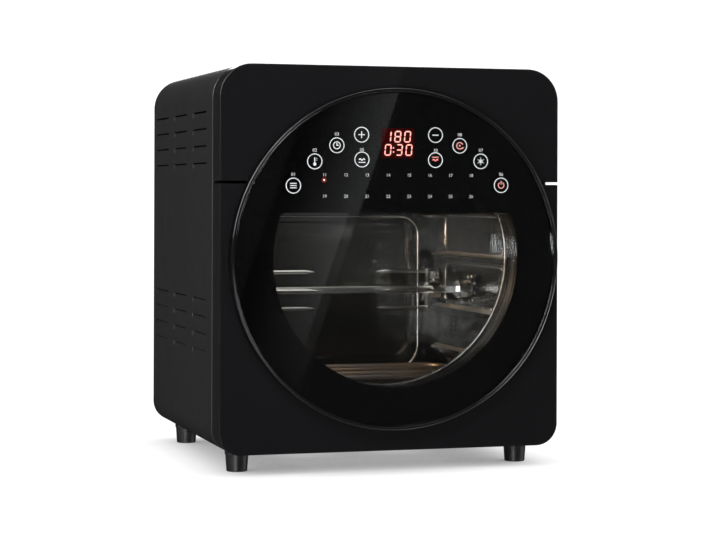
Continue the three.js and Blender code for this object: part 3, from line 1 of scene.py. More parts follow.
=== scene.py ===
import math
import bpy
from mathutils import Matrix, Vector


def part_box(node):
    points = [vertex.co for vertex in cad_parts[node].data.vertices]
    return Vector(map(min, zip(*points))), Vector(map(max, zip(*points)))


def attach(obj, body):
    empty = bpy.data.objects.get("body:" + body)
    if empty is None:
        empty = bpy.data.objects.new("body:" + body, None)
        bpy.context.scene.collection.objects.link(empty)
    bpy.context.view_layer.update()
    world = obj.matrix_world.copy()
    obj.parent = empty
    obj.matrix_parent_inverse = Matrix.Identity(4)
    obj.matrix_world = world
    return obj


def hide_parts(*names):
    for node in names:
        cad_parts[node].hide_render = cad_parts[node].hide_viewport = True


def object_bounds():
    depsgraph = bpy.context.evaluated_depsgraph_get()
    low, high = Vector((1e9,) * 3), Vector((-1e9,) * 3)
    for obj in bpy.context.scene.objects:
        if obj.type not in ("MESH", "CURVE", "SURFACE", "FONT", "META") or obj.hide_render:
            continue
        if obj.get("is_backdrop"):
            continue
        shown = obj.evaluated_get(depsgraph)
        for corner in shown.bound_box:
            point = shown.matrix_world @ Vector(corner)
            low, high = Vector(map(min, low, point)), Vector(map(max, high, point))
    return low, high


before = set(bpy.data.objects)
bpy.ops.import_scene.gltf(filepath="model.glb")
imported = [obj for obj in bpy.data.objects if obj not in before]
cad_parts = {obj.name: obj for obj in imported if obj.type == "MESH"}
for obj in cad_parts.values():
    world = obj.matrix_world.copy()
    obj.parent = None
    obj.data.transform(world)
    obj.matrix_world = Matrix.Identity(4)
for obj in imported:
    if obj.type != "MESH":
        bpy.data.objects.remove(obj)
cad_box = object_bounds()

# The looks of the air fryer oven: every shown piece and finish, the studio and the camera.
# Metres in the part's own frame: +Z is up and the front faces -Y.

from types import SimpleNamespace

import bmesh
import bpy
from mathutils import Matrix, Vector

bl_info = {
    "name": "Air fryer oven looks",
    "version": (1, 0, 0),
    "blender": (4, 5, 0),
    "location": "3D View > Sidebar > Oven",
    "description": "Builds the visible pieces, finishes and studio of an air fryer oven",
    "category": "Object",
}

MM = 0.001


def span(node):
    """The low and high ends of a node's box on each axis."""
    low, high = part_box(node)
    return SimpleNamespace(x0=low.x, x1=high.x, y0=low.y, y1=high.y, z0=low.z, z1=high.z)


CASING = span("outer_shell")
FASCIA = span("upper_fascia")
DOOR = span("door_shell")
GLASS = span("disc_glass")
FILM = span("printed_film")
RIM = span("disc_rim")
PANE = span("inner_glass")
TUNNEL = span("window_tunnel")
LINER = span("oven_liner")

HALF_WIDTH = CASING.x1
BASE_Z = CASING.z0
TOP_Z = CASING.z1
FRONT_Y = DOOR.y0
DISC_RADIUS = RIM.x1
DISC_Z = (RIM.z0 + RIM.z1) / 2
TOP_RADIUS = 30 * MM
BOTTOM_RADIUS = 20.5 * MM
SHEET = 1 * MM
WALL = 2.5 * MM
SEAT = 0.3 * MM
OVERRUN = 2 * MM
WINDOW_RADIUS = 0.7492 * DISC_RADIUS
WINDOW_TOP = 0.2707 * DISC_RADIUS
WINDOW_CORNER = 6 * MM
TUNNEL_DRAFT = 0.5 * MM
TUNNEL_WALL = 1 * MM
TUNNEL_FLANGE = 8 * MM
CAVITY_HALF = 131 * MM
CAVITY_CORNER = 12 * MM
FLOOR_Z = BASE_Z + 37 * MM
CEILING_Z = FLOOR_Z + 194 * MM
CAVITY_FRONT = CASING.y0
CAVITY_BACK = CAVITY_FRONT + 250 * MM
CAVITY_MID_Y = (CAVITY_FRONT + CAVITY_BACK) / 2
SPIT_Z = FLOOR_Z + 103 * MM
HINGE_INSET = (DOOR.y1 - DOOR.y0) / 2
HINGE_Y = FRONT_Y + HINGE_INSET
HINGE_Z = BASE_Z + HINGE_INSET
SIDES = (("left", -1), ("right", 1))


# Settings that a user would change

def colour(name, text, value):
    """A colour setting."""
    return bpy.props.FloatVectorProperty(
        name=name, description=text, default=value, min=0, max=1, size=3, subtype="COLOR"
    )


def length(name, text, value):
    """A length setting."""
    return bpy.props.FloatProperty(
        name=name, description=text, default=value, min=0, precision=5, unit="LENGTH"
    )


def power(name, text, value):
    """A light's power."""
    return bpy.props.FloatProperty(name=name, description=text, default=value, min=0, unit="POWER")


def brightness(name, text, value):
    """How strongly the backdrop, the room or a card shines."""
    return bpy.props.FloatProperty(name=name, description=text, default=value, min=0)


class OVEN_PG_sizes(bpy.types.PropertyGroup):
    """Small sizes of the visible pieces."""

    edge_round: length("Fascia edge", "Fillet along the edges of the fascia and the door", 1.2 * MM)
    sheet_round: length("Sheet edge", "Fillet along the edges of bent sheet", 0.3 * MM)
    foot_round: length("Foot edge", "Fillet round the bottom of each foot", 0.8 * MM)
    louvre_length: length("Louvre length", "Length of one louvre in the casing", 60 * MM)
    louvre_height: length("Louvre height", "Height of one louvre in the casing", 6.3 * MM)
    louvre_depth: length("Louvre depth", "How far one louvre is pressed in", 2.4 * MM)
    louvre_slot: length("Louvre slot", "Height of the slot that one louvre opens", 1.05 * MM)
    key_diameter: length("Key ring", "Diameter of the ring round a touch key", 14.3 * MM)
    key_stroke: length("Key stroke", "Line width of the ring round a touch key", 0.85 * MM)
    digit_height: length("Digit height", "Height of the display's digits", 9.4 * MM)


class OVEN_PG_colours(bpy.types.PropertyGroup):
    """Colours of the finishes."""

    casing: colour("Casing", "Powder coat of the casing", (0.027, 0.027, 0.028))
    fascia: colour("Fascia", "Gloss moulding of the fascia and the door", (0.0138, 0.0138, 0.0155))
    disc: colour("Disc", "Black print and gloss round the window", (0.0036, 0.0034, 0.0037))
    print: colour("Key signs", "Signs printed behind the glass", (0.8, 0.79, 0.79))
    digits: colour("Digits", "Lit digits of the display", (1.0, 0.4, 0.34))
    steel: colour("Steel", "Polished sheet of the cavity", (0.1, 0.097, 0.096))
    bright: colour("Bright steel", "Spit, forks and small bright pieces", (0.78, 0.77, 0.75))
    rim: colour("Rim", "Dark chrome of the disc's rim", (0.24, 0.24, 0.245))
    zinc: colour("Zinc", "Plated brackets and plates", (0.42, 0.43, 0.44))
    lamp: colour("Lamp", "Light of the oven lamp", (1.0, 0.72, 0.46))


class OVEN_PG_studio(bpy.types.PropertyGroup):
    """Lights and lens of the studio."""

    lens: bpy.props.FloatProperty(
        name="Focal length", description="Lens of the camera", default=102.01, min=1, unit="CAMERA"
    )
    backdrop: brightness("Backdrop", "Brightness of the white backdrop", 1.2)
    ambient: brightness("Ambient", "Brightness of the room for everything but the camera", 0.03)
    side: power("Side light", "Power of the soft light on the casing's side", 16)
    front: power("Front light", "Power of the soft light at the front left", 14.5)
    low: power("Low light", "Power of the soft light close to the floor in front", 7)
    rear: power("Rear light", "Power of the soft light behind", 30)
    right: power("Right light", "Power of the soft light on the casing's right side", 18)
    top: power("Top light", "Power of the soft light overhead", 7)
    card: brightness("Front card", "Brightness of the card that the disc reflects", 0.35)
    strip: brightness("Strips", "Brightness of the thin cards that the rim reflects", 2.8)
    lamp: power("Lamp light", "Power of the lamp inside the cavity", 0.5)
    ceiling: power("Cavity light", "Power of the soft light under the cavity's ceiling", 0.06)


def sizes():
    return bpy.context.scene.oven_sizes


def colours():
    return bpy.context.scene.oven_colours


def studio():
    return bpy.context.scene.oven_studio


# Outlines: lists of pairs in the plane across the axis that they are run along

def arc(cx, cy, radius, start, end, steps):
    """Points of an arc between two angles in degrees."""
    angles = [math.radians(start + (end - start) * i / steps) for i in range(steps + 1)]
    return [(cx + radius * math.cos(a), cy + radius * math.sin(a)) for a in angles]


def circle(cx, cy, radius, steps):
    """Points of a full circle."""
    return arc(cx, cy, radius, 0, 360, steps)[:-1]


def quarter(steps):
    """Angles spread evenly over a right angle, both ends included."""
    return [math.pi / 2 * k / steps for k in range(steps + 1)]


def whole_turn(count):
    """Angles spread evenly over a full turn."""
    return [2 * math.pi * k / count for k in range(count)]


def rounded(x0, x1, y0, y1, low, high=None, steps=8):
    """A rectangle with one radius on its low corners and one on its high corners."""
    high = low if high is None else high
    return (
        arc(x0 + low, y0 + low, low, 180, 270, steps)
        + arc(x1 - low, y0 + low, low, 270, 360, steps)
        + arc(x1 - high, y1 - high, high, 0, 90, steps)
        + arc(x0 + high, y1 - high, high, 90, 180, steps)
    )


def body_outline(inset):
    """The front view of the whole body, drawn in by an inset."""
    edge = HALF_WIDTH - inset
    low, high = BOTTOM_RADIUS - inset, TOP_RADIUS - inset
    return rounded(-edge, edge, BASE_Z + inset, TOP_Z - inset, low, high, steps=16)


def cavity_outline(grow):
    """The front view of the cavity, grown outwards."""
    edge = CAVITY_HALF + grow
    return rounded(-edge, edge, FLOOR_Z - grow, CEILING_Z + grow, CAVITY_CORNER + grow, steps=10)


def window_outline(grow):
    """The window: a circle cut by a flat top with rounded corners, grown outwards."""
    radius, top, corner = WINDOW_RADIUS + grow, WINDOW_TOP + grow, WINDOW_CORNER + grow
    x = math.sqrt((radius - corner) ** 2 - (top - corner) ** 2)
    z = DISC_Z + top - corner
    lift = math.degrees(math.atan2(top - corner, x))
    return (
        arc(-x, z, corner, 90, 180 - lift, 8)
        + arc(0, DISC_Z, radius, 180 - lift, 360 + lift, 96)[1:-1]
        + arc(x, z, corner, lift, 90, 8)
    )


# Solids

def place(axis, a, b, along):
    """A point from its two places across an axis and its place along it."""
    return {"x": (along, a, b), "y": (a, along, b), "z": (a, b, along)}[axis]


def link(name, data):
    """A new object in the scene."""
    made = bpy.data.objects.new(name, data)
    bpy.context.scene.collection.objects.link(made)
    return made


def solid(verts, faces):
    """A mesh object with its faces turned outwards."""
    mesh = bpy.data.meshes.new("tool")
    mesh.from_pydata(verts, [], faces)
    form = bmesh.new()
    form.from_mesh(mesh)
    bmesh.ops.remove_doubles(form, verts=form.verts, dist=1e-7)
    bmesh.ops.recalc_face_normals(form, faces=form.faces)
    form.to_mesh(mesh)
    form.free()
    return link("tool", mesh)


def loft(loops, ring=False):
    """A skin through loops of equal count, closed by end faces or back onto its first loop."""
    n = len(loops[0])
    faces = []
    for a in range(len(loops) - (0 if ring else 1)):
        b = (a + 1) % len(loops)
        faces += [(a * n + i, a * n + (i + 1) % n, b * n + (i + 1) % n, b * n + i) for i in range(n)]
    if not ring:
        faces += [tuple(range(n)), tuple(range((len(loops) - 1) * n, len(loops) * n))]
    return solid([point for loop in loops for point in loop], faces)


def skin(pairs, axis="y", ring=False):
    """A skin through outlines of equal count, each with its place along an axis."""
    return loft([[place(axis, a, b, along) for a, b in outline] for outline, along in pairs], ring)


def prism(points, low, high, axis="y"):
    """An outline run along an axis."""
    return skin([(points, low), (points, high)], axis)


def frame_prism(outer, inner, low, high):
    """The space between two outlines, run along Y."""
    return skin([(outer, low), (outer, high), (inner, high), (inner, low)], ring=True)


def lathe(profile, axis, a, b, steps, ring=False):
    """A profile of (radius, place along the axis) pairs turned about an axis through a, b."""
    return skin([(circle(a, b, radius, steps), along) for radius, along in profile], axis, ring)


def rib(outline, axis, along, size):
    """A round rib run along a closed outline that can be grown, half of it sunk in a wall."""
    pairs = [(outline(size * math.cos(t)), along + size * math.sin(t)) for t in whole_turn(10)]
    return skin(pairs, axis, ring=True)


def box(x0, x1, y0, y1, z0, z1):
    """A block between two places on each axis."""
    return prism([(x0, y0), (x1, y0), (x1, y1), (x0, y1)], z0, z1, "z")


def tube(points, radius):
    """A round bar along a list of points."""
    points = [Vector(point) for point in points]
    ways = []
    for i in range(len(points)):
        before, after = points[max(i - 1, 0)], points[min(i + 1, len(points) - 1)]
        ways.append((after - before).normalized())
    side = ways[0].orthogonal().normalized()
    loops = []
    for point, way in zip(points, ways):
        side = (side - way * side.dot(way)).normalized()
        across = way.cross(side)
        ring = [side * math.cos(t) + across * math.sin(t) for t in whole_turn(20)]
        loops.append([point + spoke * radius for spoke in ring])
    return loft(loops)


STRAIGHT_ENOUGH = math.radians(165)


def bent(corners, radius, steps):
    """A list of points with each sharp corner rounded to a bend."""
    corners = [Vector(corner) for corner in corners]
    path = [corners[0]]
    for before, corner, after in zip(corners, corners[1:], corners[2:]):
        back, ahead = (before - corner).normalized(), (after - corner).normalized()
        inside = back.angle(ahead)
        if inside > STRAIGHT_ENOUGH:
            path.append(corner)
            continue
        reach = radius / math.tan(inside / 2)
        centre = corner + (back + ahead).normalized() * radius / math.sin(inside / 2)
        first, last = back * reach + corner - centre, ahead * reach + corner - centre
        turn = math.pi - inside
        for k in range(steps + 1):
            share = k / steps
            step = first * math.sin((1 - share) * turn) + last * math.sin(share * turn)
            path.append(step / math.sin(turn) + centre)
    return path + [corners[-1]]


def merged(*parts):
    """Several objects as one mesh object."""
    parts = list(parts)
    form = bmesh.new()
    for part in parts:
        form.from_mesh(part.data)
    form.to_mesh(parts[0].data)
    form.free()
    for part in parts[1:]:
        bpy.data.objects.remove(part)
    return parts[0]


def combine(base, kind, *tools):
    """The base joined with the tools, cut by them or kept inside them."""
    for tool in tools:
        step = base.modifiers.new("combine", "BOOLEAN")
        step.operation, step.object, step.solver = kind, tool, "MANIFOLD"
    graph = bpy.context.evaluated_depsgraph_get()
    mesh = bpy.data.meshes.new_from_object(base.evaluated_get(graph))
    base.modifiers.clear()
    if not mesh.polygons:
        raise RuntimeError("a join or cut left nothing of " + base.name)
    base.data = mesh
    for tool in tools:
        bpy.data.objects.remove(tool)
    return base


def cut(base, *tools):
    return combine(base, "DIFFERENCE", *tools)


def join(base, *tools):
    return combine(base, "UNION", *tools)


def rod(axis, radius, low, high, a, b, steps=24):
    """A round bar along an axis."""
    return prism(circle(a, b, radius, steps), low, high, axis)


def soften(piece, width, angle):
    """Rounds a piece's edges without changing its own points, and keeps its flat faces even."""
    bevel = piece.modifiers.new("edges", "BEVEL")
    bevel.width, bevel.segments = width, 2
    bevel.limit_method, bevel.angle_limit = "ANGLE", math.radians(angle)
    bevel.harden_normals = bevel.use_clamp_overlap = True
    flat = piece.modifiers.new("Flat faces", "WEIGHTED_NORMAL")
    flat.mode, flat.weight, flat.keep_sharp = "FACE_AREA", 100, True


def dress(piece, name, material, body, stands_for=(), edge=0, angle=35):
    """Names a piece, gives it its finish and edges, and joins it to its body."""
    piece.name = piece.data.name = name
    piece.data.materials.clear()
    piece.data.materials.append(material)
    piece.data.polygons.foreach_set("use_smooth", [True] * len(piece.data.polygons))
    piece.data.set_sharp_from_angle(angle=math.radians(angle))
    if edge:
        soften(piece, edge, angle)
    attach(piece, body)
    if stands_for:
        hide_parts(*stands_for)


# Finishes

def shader_group(name, inputs, outputs):
    """A new shader group with named sockets: its tree, what it is given and its end node."""
    tree = bpy.data.node_groups.new(name, "ShaderNodeTree")
    for label, kind, value in inputs:
        socket = tree.interface.new_socket(label, in_out="INPUT", socket_type=kind)
        socket.default_value = value
    for label, kind in outputs:
        tree.interface.new_socket(label, in_out="OUTPUT", socket_type=kind)
    return tree, tree.nodes.new("NodeGroupInput").outputs, tree.nodes.new("NodeGroupOutput")


def feed(tree, node, *values, **named):
    """Sets a node's inputs to numbers or links them to sockets, in order or by name."""
    pairs = list(zip(node.inputs, values))
    pairs += [(node.inputs[label.replace("_", " ")], value) for label, value in named.items()]
    for socket, value in pairs:
        if isinstance(value, bpy.types.NodeSocket):
            tree.links.new(value, socket)
        else:
            socket.default_value = value
    return node


def add(tree, kind, *values, **named):
    """A new node with its inputs set or linked."""
    return feed(tree, tree.nodes.new(kind), *values, **named)


def math_node(tree, kind, *values):
    """A math node fed by sockets or numbers."""
    node = add(tree, "ShaderNodeMath", *values)
    node.operation = kind
    return node.outputs[0]


def blend(tree, factor, first, second):
    """Two colours mixed by a factor."""
    node = tree.nodes.new("ShaderNodeMix")
    node.data_type = "RGBA"
    feed(tree, node, Factor=factor)
    tree.links.new(first, node.inputs[6])
    tree.links.new(second, node.inputs[7])
    return node.outputs[2]


def noise(tree, vector, scale, detail, **named):
    """A soft noise over the surface."""
    node = add(tree, "ShaderNodeTexNoise", Vector=vector, Scale=scale, Detail=detail, **named)
    return node.outputs["Fac"]


def on_object(tree):
    """The place on the object itself."""
    return add(tree, "ShaderNodeTexCoord").outputs["Object"]


def grain_group():
    """Fine grain: shifts a colour and a roughness, and gives a height."""
    name = "Surface grain"
    if name in bpy.data.node_groups:
        return bpy.data.node_groups[name]
    tree, given, made = shader_group(
        name,
        [
            ("Colour", "NodeSocketColor", (0.5, 0.5, 0.5, 1)),
            ("Second colour", "NodeSocketColor", (0.6, 0.6, 0.6, 1)),
            ("Roughness", "NodeSocketFloat", 0.5),
            ("Roughness shift", "NodeSocketFloat", 0.1),
            ("Scale", "NodeSocketFloat", 800),
            ("Stretch", "NodeSocketVector", (1, 1, 1)),
            ("Contrast", "NodeSocketFloat", 1),
        ],
        [("Colour", "NodeSocketColor"), ("Roughness", "NodeSocketFloat"), ("Height", "NodeSocketFloat")],
    )
    stretch = add(tree, "ShaderNodeVectorMath", on_object(tree), given["Stretch"])
    stretch.operation = "MULTIPLY"
    height = noise(tree, stretch.outputs[0], given["Scale"], 3)
    lift = math_node(tree, "SUBTRACT", height, 0.5)
    steep = math_node(tree, "MULTIPLY", lift, given["Contrast"])
    factor = math_node(tree, "ADD", steep, 0.5)
    shift = math_node(tree, "MULTIPLY", lift, given["Roughness shift"])
    feed(
        tree, made, Colour=blend(tree, factor, given["Colour"], given["Second colour"]),
        Roughness=math_node(tree, "ADD", shift, given["Roughness"]), Height=height,
    )
    return tree


def marks_group():
    """Handling marks: wide soft patches that change the roughness."""
    name = "Handling marks"
    if name in bpy.data.node_groups:
        return bpy.data.node_groups[name]
    tree, given, made = shader_group(
        name,
        [
            ("Roughness", "NodeSocketFloat", 0.3),
            ("Amount", "NodeSocketFloat", 0.1),
            ("Patch scale", "NodeSocketFloat", 14),
        ],
        [("Roughness", "NodeSocketFloat")],
    )
    patch = noise(tree, on_object(tree), given["Patch scale"], 5, Roughness=0.62)
    mask = add(tree, "ShaderNodeMapRange", Value=patch, From_Min=0.42, From_Max=0.7).outputs[0]
    grown = math_node(tree, "MULTIPLY", mask, given["Amount"])
    feed(tree, made, Roughness=math_node(tree, "ADD", grown, given["Roughness"]))
    return tree


def tint_group():
    """Heat tint: straw and blue patches over a metal's colour."""
    name = "Heat tint"
    if name in bpy.data.node_groups:
        return bpy.data.node_groups[name]
    tree, given, made = shader_group(
        name,
        [
            ("Colour", "NodeSocketColor", (0.5, 0.5, 0.5, 1)),
            ("Amount", "NodeSocketFloat", 0.3),
            ("Scale", "NodeSocketFloat", 20),
        ],
        [("Colour", "NodeSocketColor")],
    )
    straw, blue = (0.30, 0.20, 0.11, 1), (0.13, 0.14, 0.2, 1)
    ramp = add(tree, "ShaderNodeValToRGB", noise(tree, on_object(tree), given["Scale"], 2))
    for element, position, tint in zip(ramp.color_ramp.elements, (0.3, 0.7), (straw, blue)):
        element.position, element.color = position, tint
    feed(tree, made, Colour=blend(tree, given["Amount"], given["Colour"], ramp.outputs[0]))
    return tree


def use_group(tree, group, **named):
    """A node of a shader group with some of its inputs set or linked."""
    node = tree.nodes.new("ShaderNodeGroup")
    node.node_tree = group
    return feed(tree, node, **named)


def new_material(name):
    """A new material with its tree, its main shader and its output."""
    made = bpy.data.materials.new(name)
    made.use_nodes = True
    tree = made.node_tree
    return made, tree, tree.nodes["Principled BSDF"], tree.nodes["Material Output"]


def rgba(value, share):
    """A colour with its channels scaled by a share."""
    return tuple(min(channel * share, 1) for channel in value[:3]) + (1,)


def finish(
    name, base, rough, metal=0.0, scale=900, stretch=(1, 1, 1), shift=0.2, rough_shift=0.1,
    relief=0.02 * MM, marks=0.08, tint=0.0, contrast=1, **plain
):
    """A finish with grain, handling marks and, where asked, heat tint."""
    if name in bpy.data.materials:
        return bpy.data.materials[name]
    made, tree, shader, _ = new_material(name)
    marked = use_group(tree, marks_group(), Roughness=rough, Amount=marks)
    grain = use_group(
        tree, grain_group(), Colour=rgba(base, 1 - shift / 2), Second_colour=rgba(base, 1 + shift / 2),
        Roughness=marked.outputs["Roughness"], Roughness_shift=rough_shift, Scale=scale, Stretch=stretch,
        Contrast=contrast,
    )
    tinted = grain.outputs["Colour"]
    if tint:
        tinted = use_group(tree, tint_group(), Colour=tinted, Amount=tint).outputs["Colour"]
    feed(tree, shader, Base_Color=tinted, Roughness=grain.outputs["Roughness"], Metallic=metal, **plain)
    if relief:
        bump = add(tree, "ShaderNodeBump", Strength=1, Distance=relief, Height=grain.outputs["Height"])
        feed(tree, shader, Normal=bump.outputs["Normal"])
    return made


GLASS_HAZE = 0.008


def glass(name, tint, rough=0.0, ior=1.5):
    """Clear glass that lets the lights through."""
    if name in bpy.data.materials:
        return bpy.data.materials[name]
    made, tree, shader, out = new_material(name)
    marked = use_group(tree, marks_group(), Roughness=rough + GLASS_HAZE, Amount=GLASS_HAZE / 2)
    grain = use_group(
        tree, grain_group(), Colour=rgba(tint, 0.99), Second_colour=rgba(tint, 1.01),
        Roughness=marked.outputs["Roughness"], Roughness_shift=0, Scale=60,
    )
    feed(
        tree, shader, Base_Color=grain.outputs["Colour"], Roughness=grain.outputs["Roughness"],
        Transmission_Weight=1, IOR=ior,
    )
    clear = add(tree, "ShaderNodeBsdfTransparent", Color=rgba(tint, 0.92))
    shadow = add(tree, "ShaderNodeLightPath").outputs["Is Shadow Ray"]
    mix = add(tree, "ShaderNodeMixShader", shadow, shader.outputs[0], clear.outputs[0])
    feed(tree, out, Surface=mix.outputs[0])
    return made


def lit(name, base, glow):
    """A glowing sign: its colour and its light shift a little over the surface."""
    made = finish(name, base, 0.6, shift=0.06, relief=0, Emission_Strength=glow, Specular_IOR_Level=0)
    shader = made.node_tree.nodes["Principled BSDF"]
    feed(made.node_tree, shader, Emission_Color=shader.inputs["Base Color"].links[0].from_socket)
    return made


def powder_coat():
    return finish("Powder coat", colours().casing, 0.52, scale=1500, shift=0.3, relief=0.05 * MM)


def fascia_gloss():
    return finish(
        "Gloss moulding", colours().fascia, 0.24, scale=300, rough_shift=0.03, relief=0, marks=0.03,
        Coat_Weight=0.25, Coat_Roughness=0.03,
    )


def disc_gloss():
    return finish("Disc gloss", colours().disc, 0.12, scale=300, rough_shift=0.03, relief=0, marks=0.03)


def rim_chrome():
    return finish(
        "Dark chrome", colours().rim, 0.12, metal=1, scale=300, rough_shift=0.02, relief=0, marks=0.02,
    )


def black_print():
    return finish(
        "Black print", colours().disc, 0.03, scale=40, shift=0.1, rough_shift=0, relief=0, marks=0,
    )


def liner_steel():
    return finish(
        "Cavity sheet", colours().steel, 0.19, metal=1, scale=260, stretch=(1, 0.06, 1), shift=0.16,
        rough_shift=0.08, relief=0.01 * MM,
    )


def bright_steel():
    return finish(
        "Bright steel", colours().bright, 0.17, metal=1, scale=420, stretch=(0.06, 1, 1), shift=0.12,
        relief=0.008 * MM,
    )


def zinc_steel():
    return finish(
        "Plated sheet", colours().zinc, 0.38, metal=1, scale=160, shift=0.25, rough_shift=0.16,
        relief=0.01 * MM, marks=0.12,
    )


def heater_skin():
    return finish(
        "Heater tube", (0.2, 0.17, 0.15), 0.42, metal=0.9, scale=500, shift=0.35, rough_shift=0.15,
        tint=0.45,
    )


def foot_gloss():
    return finish(
        "Moulded foot", (0.17, 0.17, 0.178), 0.38, metal=0.94, scale=500, rough_shift=0.04, relief=0,
    )


def black_plastic():
    return finish("Black plastic", (0.012, 0.012, 0.013), 0.48, shift=0.3, relief=0.03 * MM)


# The casing and the pieces on it

LOUVRE_PITCH = 15.8 * MM
LOUVRE_COLUMN = 87 * MM
LOUVRE_FIRST = 85 * MM
LOUVRE_BLOCKS = (BASE_Z + 311 * MM, BASE_Z + 137.5 * MM)
LOUVRE_ROWS = 4
LOUVRE_COLUMNS = 3
HEM = 0.95 * SHEET
REAR_FLANGE = 12 * MM
REAR_RECESS = 3 * MM
BOTTOM_FLANGE = 22 * MM
FOOT_X = 136 * MM
FOOT_PLACES = (("front", CASING.y0 + 12 * MM), ("rear", CASING.y1 - 39 * MM))
FOOT_HOLE_RADIUS = 4.3 * MM
FOOT_STEM_RADIUS = 3.8 * MM
FOOT_BOTTOM_RADIUS = 9.6 * MM
FOOT_TOP_RADIUS = 11.2 * MM
REAR_PANEL_Y = CASING.y1 - REAR_RECESS - SHEET
REAR_FLANGE_Y = REAR_PANEL_Y - SEAT - SHEET
AHEAD_OF_FLANGE = 100 * MM


def louvres(sign, hollow):
    """The wedges of one side's louvres: the pressed sheet, or the hollow cut out of it."""
    kit = sizes()
    made = []
    grow = 0 if hollow else SHEET
    face = sign * (HALF_WIDTH + (OVERRUN if hollow else -SHEET / 2))
    flush = sign * (HALF_WIDTH if hollow else HALF_WIDTH - SHEET / 2)
    inner = sign * (HALF_WIDTH - kit.louvre_depth - grow)
    reach = kit.louvre_length / 2 + grow
    for high in LOUVRE_BLOCKS:
        for row in range(LOUVRE_ROWS):
            for column in range(LOUVRE_COLUMNS):
                top = high - row * LOUVRE_PITCH
                low = top - kit.louvre_height - grow / 2
                y = FRONT_Y + LOUVRE_FIRST + column * LOUVRE_COLUMN
                points = [(face, low), (flush, low), (inner, top), (face, top)]
                if not hollow:
                    lip = top - kit.louvre_slot
                    points = [(flush, low), (inner, lip), (face, lip)]
                made.append(prism(points, y - reach, y + reach))
    return merged(*made)


class OVEN_OT_casing(bpy.types.Operator):
    """Build the bent steel casing with its rows of louvres."""

    bl_idname = "oven.casing"
    bl_label = "Casing"

    def execute(self, context):
        pairs = [
            (body_outline(HEM * (1 - math.sin(t))), CASING.y0 + HEM * (1 - math.cos(t)))
            for t in quarter(4)
        ]
        inner = body_outline(SHEET)
        pairs += [(body_outline(0), CASING.y1), (inner, CASING.y1), (inner, CASING.y0)]
        flange = frame_prism(
            body_outline(SHEET / 2), body_outline(SHEET + REAR_FLANGE),
            REAR_FLANGE_Y, REAR_FLANGE_Y + SHEET,
        )
        sheet = join(skin(pairs, ring=True), flange, louvres(-1, False), louvres(1, False))
        gap = HALF_WIDTH - BOTTOM_RADIUS - BOTTOM_FLANGE
        slit = box(-gap, gap, CASING.y0 - OVERRUN, CASING.y1 + OVERRUN, BASE_Z - OVERRUN, BASE_Z + SHEET)
        holes = [
            rod("z", FOOT_HOLE_RADIUS, BASE_Z - OVERRUN, BASE_Z + OVERRUN, sign * FOOT_X, y)
            for _, sign in SIDES
            for _, y in FOOT_PLACES
        ]
        sheet = cut(sheet, slit, louvres(-1, True), louvres(1, True), *holes)
        dress(
            sheet, "casing_skin", powder_coat(), "housing", ["outer_shell"],
            edge=sizes().sheet_round, angle=30,
        )
        self.paint_front_highlight(sheet)
        return {"FINISHED"}

    def paint_front_highlight(self, sheet):
        """Paints a highlight on the hem and on the louvres' ends that face the front: a lighter copy of
        the coat on these faces stands in for the light they catch.
        """
        # Painted highlight: the front-facing faces of the hem and the louvres' ends get a lighter coat in
        # place of light.
        sheet.data.materials.append(
            finish("Hem coat", (0.09, 0.09, 0.092), 0.3, rough_shift=0.03, relief=0, Coat_Weight=1)
        )
        for face in sheet.data.polygons:
            middle, way = face.center, face.normal.y
            on_side = HALF_WIDTH - 4 * SHEET < abs(middle.x)
            end = on_side and way < -0.9 and middle.y < AHEAD_OF_FLANGE
            if end or (middle.y < CASING.y0 + HEM and way < -0.1):
                face.material_index = 1


class OVEN_OT_feet(bpy.types.Operator):
    """Build the four tapered feet."""

    bl_idname = "oven.feet"
    bl_label = "Feet"

    def execute(self, context):
        edge, top = sizes().foot_round, BASE_Z - SEAT
        bottom = [
            (FOOT_BOTTOM_RADIUS - edge * (1 - math.sin(t)), edge * (1 - math.cos(t))) for t in quarter(4)
        ]
        for place_name, y in FOOT_PLACES:
            for side, sign in SIDES:
                node = f"foot_{place_name}_{side}"
                stem_top = span(node).z1
                profile = [(0, 0)] + bottom + [
                    (FOOT_TOP_RADIUS - 0.6 * MM, top - 3.4 * MM), (FOOT_TOP_RADIUS, top - 3 * MM),
                    (FOOT_TOP_RADIUS, top), (FOOT_STEM_RADIUS, top), (FOOT_STEM_RADIUS, stem_top),
                    (0, stem_top),
                ]
                foot = lathe(profile, "z", sign * FOOT_X, y, 64)
                dress(foot, node + "_plug", foot_gloss(), "housing", [node], angle=28)
        return {"FINISHED"}


FASCIA_SEAM = 0.2
DOOR_SEAM = 0.4
GROOVE = 1 * MM
GROOVE_WIDTH = 1.8 * MM
BOSS_INSET = 22 * MM
BOSS_RADIUS = 4 * MM
BORE_RADIUS = 1.5 * MM
BORE_DEPTH = 10 * MM


